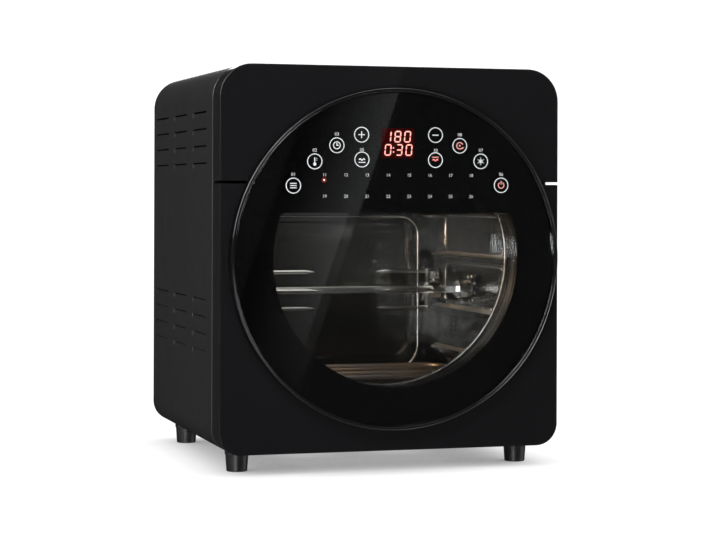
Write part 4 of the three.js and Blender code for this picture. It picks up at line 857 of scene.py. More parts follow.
class OVEN_OT_fascia(bpy.types.Operator):
    """Build the gloss fascia above the door."""

    bl_idname = "oven.fascia"
    bl_label = "Upper fascia"

    def execute(self, context):
        fillet = sizes().edge_round
        step = FASCIA.y1 - GROOVE_WIDTH
        grooved = self.outline(GROOVE, 0)
        pairs = [
            (self.outline(WALL), FRONT_Y + WALL), (self.outline(WALL), FASCIA.y1), (grooved, FASCIA.y1),
            (grooved, step), (self.outline(0), step),
        ]
        for t in quarter(5):
            inset = fillet * (1 - math.cos(t))
            pairs.append((self.outline(inset, inset * FASCIA_SEAM), FRONT_Y + fillet * (1 - math.sin(t))))
        places = [
            (sign * (HALF_WIDTH - BOSS_INSET), z)
            for _, sign in SIDES
            for z in (TOP_Z - BOSS_INSET, FASCIA.z0 + BOSS_INSET)
        ]
        bosses = [rod("y", BOSS_RADIUS, FRONT_Y + WALL / 2, FASCIA.y1, x, z) for x, z in places]
        deep = FASCIA.y1 - BORE_DEPTH
        bores = [rod("y", BORE_RADIUS, deep, FASCIA.y1 + OVERRUN, x, z) for x, z in places]
        dress(
            cut(join(skin(pairs), *bosses), *bores), "fascia_moulding", fascia_gloss(), "housing",
            ["upper_fascia"], edge=sizes().sheet_round, angle=50,
        )
        return {"FINISHED"}

    def outline(self, inset, foot=None):
        """The fascia's front view, drawn in by an inset, or by another one at the seam."""
        edge, radius = HALF_WIDTH - inset, TOP_RADIUS - inset
        low, high = FASCIA.z0 + (inset if foot is None else foot), TOP_Z - radius - inset
        right = arc(edge - radius, high, radius, 0, 90, 16)
        return [(-edge, low), (edge, low)] + right + arc(radius - edge, high, radius, 90, 180, 16)


# The door

EAR_X = 130 * MM
EAR_THICKNESS = 2.5 * MM
EAR_RADIUS = 7 * MM
EAR_GAP = 0.7 * MM
RIB = 2.5 * MM
RIB_TOP = HINGE_Z + 9.2 * MM
PIN_BORE = 2.7 * MM
DOOR_SILL = BASE_Z + 24 * MM


def door_solid(inset):
    """The door's outer form, drawn in by an inset and rounded about the hinge."""
    fillet = 0 if inset else sizes().edge_round

    def outline(grow, drop):
        edge, radius, foot = HALF_WIDTH - grow, BOTTOM_RADIUS - grow, BASE_Z + BOTTOM_RADIUS
        left = arc(radius - edge, foot, radius, 180, 270, 16)
        right = arc(edge - radius, foot, radius, 270, 360, 16)
        high = DOOR.z1 - inset - drop
        return left + right + [(edge, high), (-edge, high)]

    pairs = []
    for t in quarter(5) if fillet else [0]:
        shrink = fillet * (1 - math.sin(t))
        pairs.append((outline(inset + shrink, shrink * DOOR_SEAM), FRONT_Y + fillet * (1 - math.cos(t))))
    if fillet:
        step = DOOR.y1 - GROOVE_WIDTH
        pairs += [(outline(0, 0), step), (outline(GROOVE, 0), step)]
    pairs.append((pairs[-1][0], DOOR.y1))
    radius = HINGE_INSET - inset
    side = (
        [(FRONT_Y + inset, DOOR.z1 - inset), (FRONT_Y + inset, BASE_Z + inset)]
        + arc(HINGE_Y, HINGE_Z, radius, 270, 360, 16)
        + [(HINGE_Y + radius, DOOR.z1 - inset)]
    )
    return combine(skin(pairs), "INTERSECT", prism(side, -HALF_WIDTH, HALF_WIDTH, "x"))


class OVEN_OT_door(bpy.types.Operator):
    """Build the door's moulding, its inner panel and its seal."""

    bl_idname = "oven.door"
    bl_label = "Door"

    def execute(self, context):
        self.moulding()
        self.panel()
        self.seal()
        return {"FINISHED"}

    def moulding(self):
        """The hollow outer moulding, with ribs beside the slots for the hinges' ears."""
        edge, back = HALF_WIDTH - WALL, DOOR.y1 + OVERRUN
        body = cut(door_solid(0), door_solid(WALL))
        body = cut(body, box(-edge, edge, HINGE_Y, back, DOOR_SILL, DOOR.z1 - WALL))
        half = EAR_THICKNESS / 2 + EAR_GAP
        reach = EAR_RADIUS + EAR_GAP
        for _, sign in SIDES:
            x = sign * EAR_X
            for way in (-1, 1):
                middle = x + way * (half + RIB / 2)
                slab = box(middle - RIB / 2, middle + RIB / 2, FRONT_Y, DOOR.y1, BASE_Z, RIB_TOP)
                body = join(body, combine(door_solid(WALL / 2), "INTERSECT", slab))
            slot = box(x - half, x + half, HINGE_Y - reach, back, BASE_Z - OVERRUN, HINGE_Z + reach)
            hole = rod("x", PIN_BORE, x - half - 2 * RIB, x + half + 2 * RIB, HINGE_Y, HINGE_Z)
            body = cut(body, slot, hole)
        opening = prism(window_outline(TUNNEL_WALL + SEAT + TUNNEL_DRAFT), FRONT_Y - OVERRUN, HINGE_Y)
        dress(
            cut(body, opening), "door_moulding", fascia_gloss(), "door", ["door_shell"],
            edge=sizes().sheet_round, angle=50,
        )

    def panel(self):
        """The pressed inner sheet with its skirt and the window's hole."""
        panel, sheet, corner = span("inner_panel"), 1.2 * MM, 3 * MM

        def outline(inset):
            return rounded(
                panel.x0 + inset, panel.x1 - inset, panel.z0 + inset, panel.z1 - inset, corner - inset
            )

        plate = prism(outline(0), panel.y1 - sheet, panel.y1)
        skirt = frame_prism(outline(0), outline(sheet), panel.y0, panel.y1 - sheet / 2)
        plate = cut(join(plate, skirt), prism(window_outline(TUNNEL_DRAFT), panel.y0, panel.y1 + OVERRUN))
        dress(
            plate, "door_inner_sheet", liner_steel(), "door", ["inner_panel"],
            edge=sizes().sheet_round, angle=40,
        )

    def seal(self):
        """The silicone ring that meets the cavity's rim."""
        seal = span("door_seal")
        wide, inset, depth = 5 * MM, 3.5 * MM, seal.y1 - seal.y0
        section = ((1, 0), (1, 0.55), (0.82, 0.9), (0.5, 1), (0.18, 0.9), (0, 0.55), (0, 0))
        pairs = [(cavity_outline(inset + wide * share), seal.y0 + depth * rise) for share, rise in section]
        rubber = finish("Silicone", (0.035, 0.035, 0.037), 0.62, scale=700, shift=0.25)
        dress(
            skin(pairs, ring=True), "door_seal_lip", rubber, "door", ["door_seal"],
            angle=60,
        )


DISC_STEPS = 160
GLASS_EDGE = 0.5 * MM


class OVEN_OT_disc(bpy.types.Operator):
    """Build the round disc: housing, rim, glass and printed film."""

    bl_idname = "oven.disc"
    bl_label = "Disc"

    def execute(self, context):
        self.housing()
        self.pane()
        film = prism(circle(0, DISC_Z, GLASS.x1 - GLASS_EDGE, DISC_STEPS), FILM.y0, FILM.y1)
        film = cut(film, prism(window_outline(0), FILM.y0 - OVERRUN, FILM.y1 + OVERRUN))
        dress(film, "disc_print", black_print(), "door", ["printed_film"], angle=30)
        self.rim()
        return {"FINISHED"}

    def housing(self):
        """The gloss pan that holds the glass and lets the window's sleeve through."""
        house = span("disc_housing")
        radius, wall, floor = house.x1, 3 * MM, 2 * MM
        ledge_y, ledge = FILM.y1 + SEAT, 3.5 * MM
        inner, edge = radius - wall, 0.6 * MM
        profile = [
            (0, house.y1), (radius - edge, house.y1), (radius, house.y1 - edge), (radius, house.y0),
            (inner, house.y0), (inner, ledge_y), (inner - ledge, ledge_y),
            (inner - ledge, house.y1 - floor), (0, house.y1 - floor),
        ]
        opening = window_outline(TUNNEL_WALL + TUNNEL_DRAFT + SEAT)
        pan = cut(lathe(profile, "y", 0, DISC_Z, DISC_STEPS), prism(opening, RIM.y0, FRONT_Y))
        dress(pan, "disc_pan", disc_gloss(), "door", ["disc_housing"], angle=30)

    def pane(self):
        """The front glass with its bevelled edges."""
        outer = GLASS.x1
        profile = [
            (0, GLASS.y0), (outer - GLASS_EDGE, GLASS.y0), (outer, GLASS.y0 + GLASS_EDGE),
            (outer, GLASS.y1 - GLASS_EDGE), (outer - GLASS_EDGE, GLASS.y1), (0, GLASS.y1),
        ]
        dress(
            lathe(profile, "y", 0, DISC_Z, DISC_STEPS), "disc_front_glass",
            glass("Front glass", (0.93, 0.95, 0.95), ior=1.27), "door", ["disc_glass"],
            angle=20,
        )

    def rim(self):
        """The chrome ring, with a low bead inside and a higher one outside."""
        inside, small, large = DISC_RADIUS - 3.3 * MM, 0.42 * MM, 0.55 * MM

        def bead(centre, size, depth, steps=8):
            """Half a round bead that stands out of the rim."""
            angles = [math.pi * (1 - k / steps) for k in range(steps + 1)]
            return [(centre + size * math.cos(a), depth - size * math.sin(a)) for a in angles]

        profile = [(inside, RIM.y1)] + bead(inside + small, small, RIM.y0 + 1.1 * MM)
        profile += bead(DISC_RADIUS - large, large, RIM.y0 + large) + [(DISC_RADIUS, RIM.y1)]
        dress(
            lathe(profile, "y", 0, DISC_Z, DISC_STEPS * 2, ring=True), "disc_bead_rim", rim_chrome(),
            "door", ["disc_rim"], angle=40,
        )


class OVEN_OT_window(bpy.types.Operator):
    """Build the window's bright sleeve and its inner pane."""

    bl_idname = "oven.window"
    bl_label = "Window"

    def execute(self, context):
        inner, outer = window_outline(TUNNEL_DRAFT), window_outline(TUNNEL_DRAFT + TUNNEL_WALL)
        wide = window_outline(TUNNEL_DRAFT + TUNNEL_WALL + TUNNEL_FLANGE)
        flange = TUNNEL.y1 - TUNNEL_WALL
        pairs = [
            (inner, TUNNEL.y0), (inner, TUNNEL.y1), (wide, TUNNEL.y1), (wide, flange), (outer, flange),
            (outer, TUNNEL.y0),
        ]
        # Painted reflection streaks: the colour swings strongly between dark and light bands along the
        # sleeve, standing in for streaks of reflected light, over the sheet's own grain.
        shine = finish(
            "Sleeve sheet", (0.09, 0.09, 0.095), 0.16, metal=1, scale=260, stretch=(0.05, 1, 0.05),
            shift=1.9, rough_shift=0.2, relief=0.1 * MM, contrast=5,
        )
        dress(
            skin(pairs, ring=True), "window_sleeve", shine, "door", ["window_tunnel"],
            edge=sizes().sheet_round / 2,
        )
        lip = 0.5 * MM
        lips = [
            rib(lambda grow: window_outline(TUNNEL_DRAFT + lip + grow), "y", TUNNEL.y0 + lip, lip),
            rib(lambda grow: window_outline(TUNNEL_DRAFT + grow), "y", TUNNEL.y1 - 2 * lip, lip),
        ]
        dress(merged(*lips), "window_lips", bright_steel(), "door", angle=60)
        dress(
            prism(wide, PANE.y0, PANE.y1), "window_inner_pane", glass("Inner pane", (0.95, 0.96, 0.95)),
            "door", ["inner_glass"], edge=sizes().sheet_round,
        )
        return {"FINISHED"}


# Signs behind the glass

SIGN_FRONT = GLASS.y1 + 0.09 * MM
SIGN_BACK = FILM.y0 - 0.09 * MM
KEY_RADIUS = 0.7672 * DISC_RADIUS
KEY_ANGLES = (34.2, 48.6, 60.6, 72.8)
INNER_KEY = (0.227 * DISC_RADIUS, 0.5814 * DISC_RADIUS)
DISPLAY_Z = DISC_Z + 0.6778 * DISC_RADIUS
ROW_HIGH = DISC_Z + 76.3 * MM
ROW_LOW = DISC_Z + 57 * MM
ROW_START = -69 * MM
ROW_PITCH = 20 * MM
ROW_COUNT = 8
LED_PLACE = (-69.5 * MM, ROW_HIGH - 4.6 * MM)
NUMBER_HEIGHT = 0.7


def sign_plate(points):
    """A flat printed shape in X and Z."""
    return prism(points, SIGN_FRONT, SIGN_BACK)


def line(x0, z0, x1, z1, width):
    """A straight printed line with square ends."""
    way = Vector((x1 - x0, z1 - z0)).normalized() * width / 2
    across = Vector((-way.y, way.x))
    a, b = Vector((x0, z0)) - way, Vector((x1, z1)) + way
    return sign_plate([tuple(p) for p in (a - across, b - across, b + across, a + across)])


def hoop(x, z, radius, width, start=0, end=360, steps=40):
    """A printed ring, or a part of one between two angles."""
    if end - start == 360:
        outer, inner = circle(x, z, radius, steps), circle(x, z, radius - width, steps)
        return frame_prism(outer, inner, SIGN_FRONT, SIGN_BACK)
    return sign_plate(arc(x, z, radius, start, end, steps) + arc(x, z, radius - width, end, start, steps))


def dot(x, z, radius, steps=16):
    return sign_plate(circle(x, z, radius, steps))


def lettering(text, x, z, height):
    """Printed numbers, centred on a place."""
    curve = bpy.data.curves.new("numbers", "FONT")
    curve.body, curve.size = text, height / NUMBER_HEIGHT
    curve.align_x, curve.align_y = "CENTER", "CENTER"
    curve.resolution_u = 2
    source = link("numbers", curve)
    graph = bpy.context.evaluated_depsgraph_get()
    mesh = bpy.data.meshes.new_from_object(source.evaluated_get(graph))
    bpy.data.objects.remove(source)
    middle = (SIGN_FRONT + SIGN_BACK) / 2
    mesh.transform(Matrix.Translation((x, middle, z)) @ Matrix.Rotation(math.pi / 2, 4, "X"))
    return link("numbers", mesh)


def zigzag(x, z, wide, high, width):
    """A heat line of three half waves."""
    waves, steps = 3, 12
    points = [
        (x + wide * (k / steps - 0.5), z + high * math.sin(k / steps * waves * math.pi))
        for k in range(steps + 1)
    ]
    return [line(*a, *b, width) for a, b in zip(points, points[1:])]


def key_signs(kind, x, z):
    """The sign inside a key's ring, drawn from plain strokes with sizes in millimetres."""
    plain = 0.85

    def stroke(x0, z0, x1, z1, wide=plain):
        return line(x + x0 * MM, z + z0 * MM, x + x1 * MM, z + z1 * MM, wide * MM)

    def ring(radius, wide=plain, up=0, start=0, end=360, steps=24):
        return hoop(x, z + up * MM, radius * MM, wide * MM, start, end, steps)

    if kind == "lines":
        return [stroke(-2.6, 2 * k, 2.6, 2 * k) for k in (-1, 0, 1)]
    if kind == "warmth":
        ticks = [stroke(1.4, up, 2.2, up, plain / 2) for up in (2.8, 1.2)]
        return [ring(1.5, 1.4, up=-2.4, steps=20), stroke(0, -1.6, 0, 3.2, 0.9)] + ticks
    if kind == "clock":
        return [ring(3.6, steps=28), stroke(0, 0, 0, 2), stroke(0, 0, 1.4, 0)]
    if kind == "plus":
        return [stroke(-2.6, 0, 2.6, 0), stroke(0, -2.6, 0, 2.6)]
    if kind == "minus":
        return [stroke(-2.6, 0, 2.6, 0)]
    if kind in ("low heat", "high heat"):
        level = -2.6 if kind == "low heat" else 2.6
        return [stroke(-2.8, level, 2.8, level)] + zigzag(x, z, 5 * MM, 0.7 * MM, plain * MM)
    if kind == "turning":
        head = [(2.2, -1.6), (4.2, -1.2), (2.8, -3.2)]
        return [
            ring(3.4, start=20, end=320), dot(x, z, 0.9 * MM),
            sign_plate([(x + right * MM, z + up * MM) for right, up in head]),
        ]
    if kind == "star":
        made = []
        for a in (math.radians(30 + 60 * k) for k in range(3)):
            right, up = 3.4 * math.cos(a), 3.4 * math.sin(a)
            made.append(stroke(-right, -up, right, up, plain * 0.6))
        return made + [ring(1.8, plain * 0.7, steps=6)]
    return [ring(3.2, start=120, end=420), stroke(0, 1, 0, 3.6)]


# Kind of sign, side, place on the ring of keys, and how far it is printed off that place in millimetres
KEYS = (
    ("lines", -1, 0, 0.6, -0.5), ("warmth", -1, 1, 0.6, -1.1), ("clock", -1, 2, 0.9, -0.9),
    ("plus", -1, 3, 0.9, -1.1), ("low heat", -1, None, 1.3, 0), ("power", 1, 0, 1.7, 0.6),
    ("star", 1, 1, 1.4, 0.1), ("turning", 1, 2, 1.2, -0.2), ("minus", 1, 3, 0.9, -0.7),
    ("high heat", 1, None, 0.9, 0),
)


class OVEN_OT_signs(bpy.types.Operator):
    """Print the touch keys, their numbers and the numbers of the programmes."""

    bl_idname = "oven.signs"
    bl_label = "Key signs"

    def execute(self, context):
        kit = sizes()
        radius = kit.key_diameter / 2
        plain, red, numbers = [], [], []
        for count, (kind, sign, ring_place, right, up) in enumerate(KEYS, 1):
            if ring_place is None:
                x, z, lift = sign * INNER_KEY[0], DISC_Z + INNER_KEY[1], 8.8 * MM
            else:
                a = math.radians(KEY_ANGLES[ring_place])
                x, z, lift = sign * KEY_RADIUS * math.cos(a), DISC_Z + KEY_RADIUS * math.sin(a), 10 * MM
            x, z = x + right * MM, z + up * MM
            plain.append(hoop(x, z, radius, kit.key_stroke))
            lit_red = kind in ("power", "turning", "high heat")
            (red if lit_red else plain).extend(key_signs(kind, x, z))
            if kind not in ("plus", "minus"):
                numbers.append(lettering(f"{count:02d}", x, z + lift, 3 * MM))
        for k in range(ROW_COUNT):
            x = ROW_START + k * ROW_PITCH
            numbers.append(lettering(f"{11 + k:02d}", x, ROW_HIGH, 2.8 * MM))
            numbers.append(lettering(f"{11 + ROW_COUNT + k:02d}", x, ROW_LOW, 2.8 * MM))
        halo = dot(*LED_PLACE, 2.6 * MM, 24)
        core = prism(circle(*LED_PLACE, 0.9 * MM, 16), GLASS.y1 + 0.03 * MM, SIGN_FRONT)
        ink = lit("Key print", colours().print, 0.35)
        for name, made, shine in (
            ("key_rings", merged(*plain), ink),
            ("key_numbers", merged(*numbers), ink),
            ("key_lights", merged(*red), lit("Red key light", (0.72, 0.3, 0.27), 0.8)),
            ("led_halo", halo, lit("Led halo", (0.09, 0.006, 0.005), 0.9)),
            ("led_core", core, lit("Led core", (1, 0.62, 0.58), 1.2)),
        ):
            dress(made, name, shine, "door", angle=30)
        return {"FINISHED"}


SEGMENTS = {"0": "abcdef", "1": "bc", "3": "abgcd", "8": "abcdefg"}
DIGIT_PITCH = 9.3 * MM
DIGIT_ROW = 6.05 * MM
DIGIT_LEAN = 0.09


def digit(char, x, z, height):
    """One seven-segment digit, leaning a little, about its middle."""
    stroke, gap = height * 0.12, height * 0.03
    half, step = height * 0.28, height / 2
    ends = {
        "a": (-half, step, half, step), "g": (-half, 0, half, 0), "d": (-half, -step, half, -step),
        "f": (-half, 0, -half, step), "b": (half, 0, half, step),
        "e": (-half, -step, -half, 0), "c": (half, -step, half, 0),
    }
    made = []
    for name in SEGMENTS[char]:
        x0, z0, x1, z1 = ends[name]
        way = Vector((x1 - x0, z1 - z0)).normalized()
        across = Vector((-way.y, way.x)) * stroke / 2
        a, b = Vector((x0, z0)) + way * gap, Vector((x1, z1)) - way * gap
        tip = way * stroke / 2
        points = [a, a + tip - across, b - tip - across, b, b - tip + across, a + tip + across]
        made.append(sign_plate([(x + p.x + DIGIT_LEAN * p.y, z + p.y) for p in points]))
    return made


class OVEN_OT_display(bpy.types.Operator):
    """Build the lit display: a dark red window and two rows of digits."""

    bl_idname = "oven.display"
    bl_label = "Display"

    def execute(self, context):
        high = sizes().digit_height
        glow = []
        for k, char in zip((-1, 0, 1), "180"):
            glow += digit(char, k * DIGIT_PITCH, DISPLAY_Z + DIGIT_ROW, high)
        for k, char in zip((-1, 0.15, 1.15), "030"):
            glow += digit(char, k * DIGIT_PITCH, DISPLAY_Z - DIGIT_ROW, high)
        for lift in (-0.2, 0.2):
            glow.append(dot(-0.44 * DIGIT_PITCH, DISPLAY_Z - DIGIT_ROW + lift * high, 0.7 * MM))
        half_x, half_z, radius, gap = 15.7 * MM, 13.7 * MM, 1 * MM, 0.02 * MM
        outline = rounded(-half_x, half_x, DISPLAY_Z - half_z, DISPLAY_Z + half_z, radius)
        window = prism(outline, SIGN_BACK + gap, FILM.y0 - gap)
        for name, made, shine in (
            ("display_digits", merged(*glow), lit("Red digits", colours().digits, 1.15)),
            ("display_window", window, lit("Display glow", (0.026, 0.0012, 0.001), 0.5)),
        ):
            dress(made, name, shine, "door", angle=30)
        return {"FINISHED"}


# Inside the cavity

LEDGES = (36 * MM, 78.5 * MM, 133 * MM)
LEDGE_DEPTH = 6 * MM
LEDGE_HEIGHT = 5 * MM
LEDGE_SLOPE = 3 * MM
LEDGE_INSET = 22 * MM
LAMP_Y = CAVITY_BACK - 62 * MM
LAMP_Z = (span("lamp_lens").z0 + span("lamp_lens").z1) / 2
HEATER_Z = FLOOR_Z + 21 * MM
HEATER_RADIUS = 3.25 * MM
HEATER_PITCH = 42 * MM
HEATER_REACH = 96 * MM
TOP_HEATER_RING = 76 * MM
FAN_OPENING = 88 * MM
DRIVE_HOLE = 7 * MM
LAMP_HOLE = 14 * MM
PROBE_HOLE = 2.8 * MM
PROBE_PLACE = (CAVITY_BACK - 60 * MM, FLOOR_Z + 176 * MM)
HEATER_HOLE = 3.6 * MM
HEATER_LEAD = 12 * MM
AIR_HOLE = 2 * MM
AIR_PLACE = (CAVITY_MID_Y + 52 * MM, FLOOR_Z + 60 * MM)
AIR_PITCH = 7 * MM * math.sqrt(0.5)
EMBOSS_INSET = 26 * MM
EMBOSS_CORNER = 18 * MM
EMBOSS_DEPTH = 3 * MM
EMBOSS_SLOPE = 1.2 * MM
RIB_SIZE = 1.1 * MM
BACK_FIELD_CORNER = 20 * MM
SIDE_FIELD_DEPTH = (-86 * MM, 84 * MM)
SIDE_FIELD_HEIGHTS = ((139 * MM, 176 * MM), (85 * MM, 127 * MM))
SIDE_FIELD_CORNER = 9 * MM
RIVET_RING = 13 * MM
RIVET_RADIUS = 1.9 * MM
RIVET_HEIGHT = 1.2 * MM


def shelf(sign, rise, grow):
    """A pressed ledge on one wall: its outside, or its hollow where grow is below zero."""
    foot = OVERRUN if grow < 0 else -SHEET / 2
    wall = sign * (CAVITY_HALF + SHEET + foot)
    tip = sign * (CAVITY_HALF - LEDGE_DEPTH - grow)
    z, half = FLOOR_Z + rise, LEDGE_HEIGHT / 2 + grow
    points = [
        (wall, z - half - LEDGE_SLOPE), (tip, z - half), (tip, z + half), (wall, z + half + LEDGE_SLOPE),
    ]
    return prism(points, CAVITY_FRONT + LEDGE_INSET - grow, CAVITY_BACK - LEDGE_INSET + grow)


class OVEN_OT_cavity(bpy.types.Operator):
    """Build the polished cavity, its embossed back, its ribs and the drive's rivets."""

    bl_idname = "oven.cavity"
    bl_label = "Cavity"

    def execute(self, context):
        self.wrap()
        self.ribs()
        self.back()
        return {"FINISHED"}

    def wrap(self):
        """The wrap of four walls with its ledges and holes, and a painted highlight on the ledges' upward
        faces.
        """
        front, flange = LINER.y0, 9 * MM
        tub = frame_prism(cavity_outline(SHEET), cavity_outline(0), front, CAVITY_BACK)
        rim = frame_prism(cavity_outline(flange), cavity_outline(0), front, front + SHEET)
        walls = [(sign, rise) for _, sign in SIDES for rise in LEDGES]
        shell = join(tub, rim, *[shelf(sign, rise, 0) for sign, rise in walls])
        right = (CAVITY_HALF - OVERRUN, CAVITY_HALF + SHEET + OVERRUN)
        left = (-right[1], -right[0])
        holes = [shelf(sign, rise, -SHEET) for sign, rise in walls]
        holes += [
            rod("z", FAN_OPENING, CEILING_Z - OVERRUN, CEILING_Z + SHEET + OVERRUN, 0, CAVITY_MID_Y, 96),
            rod("x", DRIVE_HOLE, *right, CAVITY_MID_Y, SPIT_Z),
            rod("x", LAMP_HOLE, *left, LAMP_Y, LAMP_Z, 48),
            rod("x", PROBE_HOLE, *right, *PROBE_PLACE),
        ]
        for y in (CAVITY_MID_Y - 1.5 * HEATER_PITCH, CAVITY_MID_Y + 1.5 * HEATER_PITCH):
            holes.append(rod("x", HEATER_HOLE, *left, y, HEATER_Z))
        for i in (-1, 0, 1):
            for j in (-1, 0, 1):
                y, z = AIR_PLACE[0] + (i + j) * AIR_PITCH, AIR_PLACE[1] + (i - j) * AIR_PITCH
                holes.append(rod("x", AIR_HOLE, *right, y, z, 16))
        shell = cut(shell, *holes)
        dress(
            shell, "cavity_wrap", liner_steel(), "housing", ["oven_liner"],
            edge=sizes().sheet_round, angle=24,
        )
        # Painted highlight: the ledges' upward faces get a lighter, rougher copy of the cavity's steel
        # that stands in for the light falling on them.
        shell.data.materials.append(finish(
            "Ledge sheet", colours().bright, 0.36, metal=1, scale=300, stretch=(1, 0.05, 1), shift=0.3,
            relief=0.01 * MM,
        ))
        for face in shell.data.polygons:
            middle = face.center
            on_ledge = 0.9 * CAVITY_HALF < abs(middle.x) < CAVITY_HALF - SEAT
            if on_ledge and face.normal.z > 0.3 and FLOOR_Z + SEAT < middle.z < CEILING_Z - SEAT:
                face.material_index = 1

    def back(self):
        """The back plate, one sheet with a wide panel pressed towards the rear."""
        near = CAVITY_BACK + SEAT
        far = near + SHEET

        def panel(grow):
            inset, radius = EMBOSS_INSET - grow, EMBOSS_CORNER + grow
            edge = CAVITY_HALF - inset
            return rounded(-edge, edge, FLOOR_Z + inset, CEILING_Z - inset, radius, steps=10)

        foot = EMBOSS_SLOPE / 2
        pairs = [
            (panel(-foot), near + EMBOSS_DEPTH), (panel(foot), near), (cavity_outline(SHEET), near),
            (cavity_outline(SHEET), far), (panel(SHEET + foot), far),
            (panel(SHEET - foot), far + EMBOSS_DEPTH),
        ]
        dress(
            skin(pairs), "cavity_back", liner_steel(), "housing", ["liner_back"],
            edge=sizes().sheet_round, angle=30,
        )

    def ribs(self):
        """The rounded ribs that frame the flat fields of the walls, in bright steel much lighter than the
        wall they are pressed in as a painted highlight, and rivets round the spit's drive.
        """
        def field(x0, x1, z0, z1, radius):
            return lambda grow: rounded(x0 - grow, x1 + grow, z0 - grow, z1 + grow, radius + grow)

        edge, foot, head = CAVITY_HALF - 14 * MM, FLOOR_Z + 16 * MM, CEILING_Z - 20 * MM
        outline = field(-edge, edge, foot, head, BACK_FIELD_CORNER)
        made = [rib(outline, "y", CAVITY_BACK + SEAT, RIB_SIZE)]
        for _, sign in SIDES:
            for low, high in SIDE_FIELD_HEIGHTS:
                outline = field(*SIDE_FIELD_DEPTH, FLOOR_Z + low, FLOOR_Z + high, SIDE_FIELD_CORNER)
                made.append(rib(outline, "x", sign * CAVITY_HALF, RIB_SIZE))
        sunk = CAVITY_HALF + SHEET / 2
        dome = [(RIVET_RADIUS * math.cos(t), CAVITY_HALF - RIVET_HEIGHT * math.sin(t)) for t in quarter(5)]
        rivets = []
        for turn in whole_turn(8):
            a = turn + 0.3
            y, z = CAVITY_MID_Y + RIVET_RING * math.cos(a), SPIT_Z + RIVET_RING * math.sin(a)
            rivets.append(lathe([(0, sunk), (RIVET_RADIUS, sunk)] + dome, "x", y, z, 16))
        # Painted highlight: the ribs are pressed in the cavity's sheet but get the much lighter bright
        # steel, so they read as lines of light.
        dress(merged(*made), "cavity_ribs", bright_steel(), "housing", angle=60)
        dress(merged(*rivets), "drive_rivets", bright_steel(), "housing", angle=50)


class OVEN_OT_heaters(bpy.types.Operator):
    """Build the two bent tube heaters."""

    bl_idname = "oven.heaters"
    bl_label = "Heaters"

    def execute(self, context):
        turn = HEATER_PITCH / 2
        first, end = CAVITY_MID_Y - 3 * turn, -(CAVITY_HALF + HEATER_LEAD)
        corners = [(end, first, HEATER_Z)]
        for row in range(3):
            x = (-1 if row % 2 else 1) * (HEATER_REACH + turn)
            corners += [(x, first + (row + step) * HEATER_PITCH, HEATER_Z) for step in (0, 1)]
        corners.append((end, first + 3 * HEATER_PITCH, HEATER_Z))
        low = tube(bent(corners, turn - 1 * MM, 12), HEATER_RADIUS)
        dress(low, "heater_low_tube", heater_skin(), "housing", ["bottom_heater"], angle=40)

        top, half = span("top_heater"), 8
        points = arc(0, CAVITY_MID_Y, TOP_HEATER_RING, 90 + half, 450 - half, 72)
        path = [(x, y, top.z0 + HEATER_RADIUS) for x, y in points]
        first, last = [(x, y, top.z1) for x, y in (points[0], points[-1])]
        path = [first, path[0]] + path[6:-6] + [path[-1], last]
        dress(
            tube(bent(path, 8 * MM, 8), HEATER_RADIUS), "heater_high_tube", heater_skin(), "housing",
            ["top_heater"], angle=40,
        )
        return {"FINISHED"}


FORK_X = 84 * MM
FORK_LENGTH = 14 * MM
FORK_PLATE = 2.5 * MM
FORK_REACH = 21.5 * MM
PRONG_RING = 18 * MM
PRONG_RADIUS = 1.8 * MM
PRONG_STRAIGHT = 43 * MM
PRONG_LENGTH = 52 * MM
HUB_RADIUS = 9 * MM
KNOB_RADIUS = 5.2 * MM
KNOB_FLUTES = 12
SPIT_HALF = 3.25 * MM


def spit_square(half):
    """The square bar's section, grown or drawn in, with rounded corners."""
    y, z = CAVITY_MID_Y, SPIT_Z
    return rounded(y - half, y + half, z - half, z + half, half / 8, steps=3)


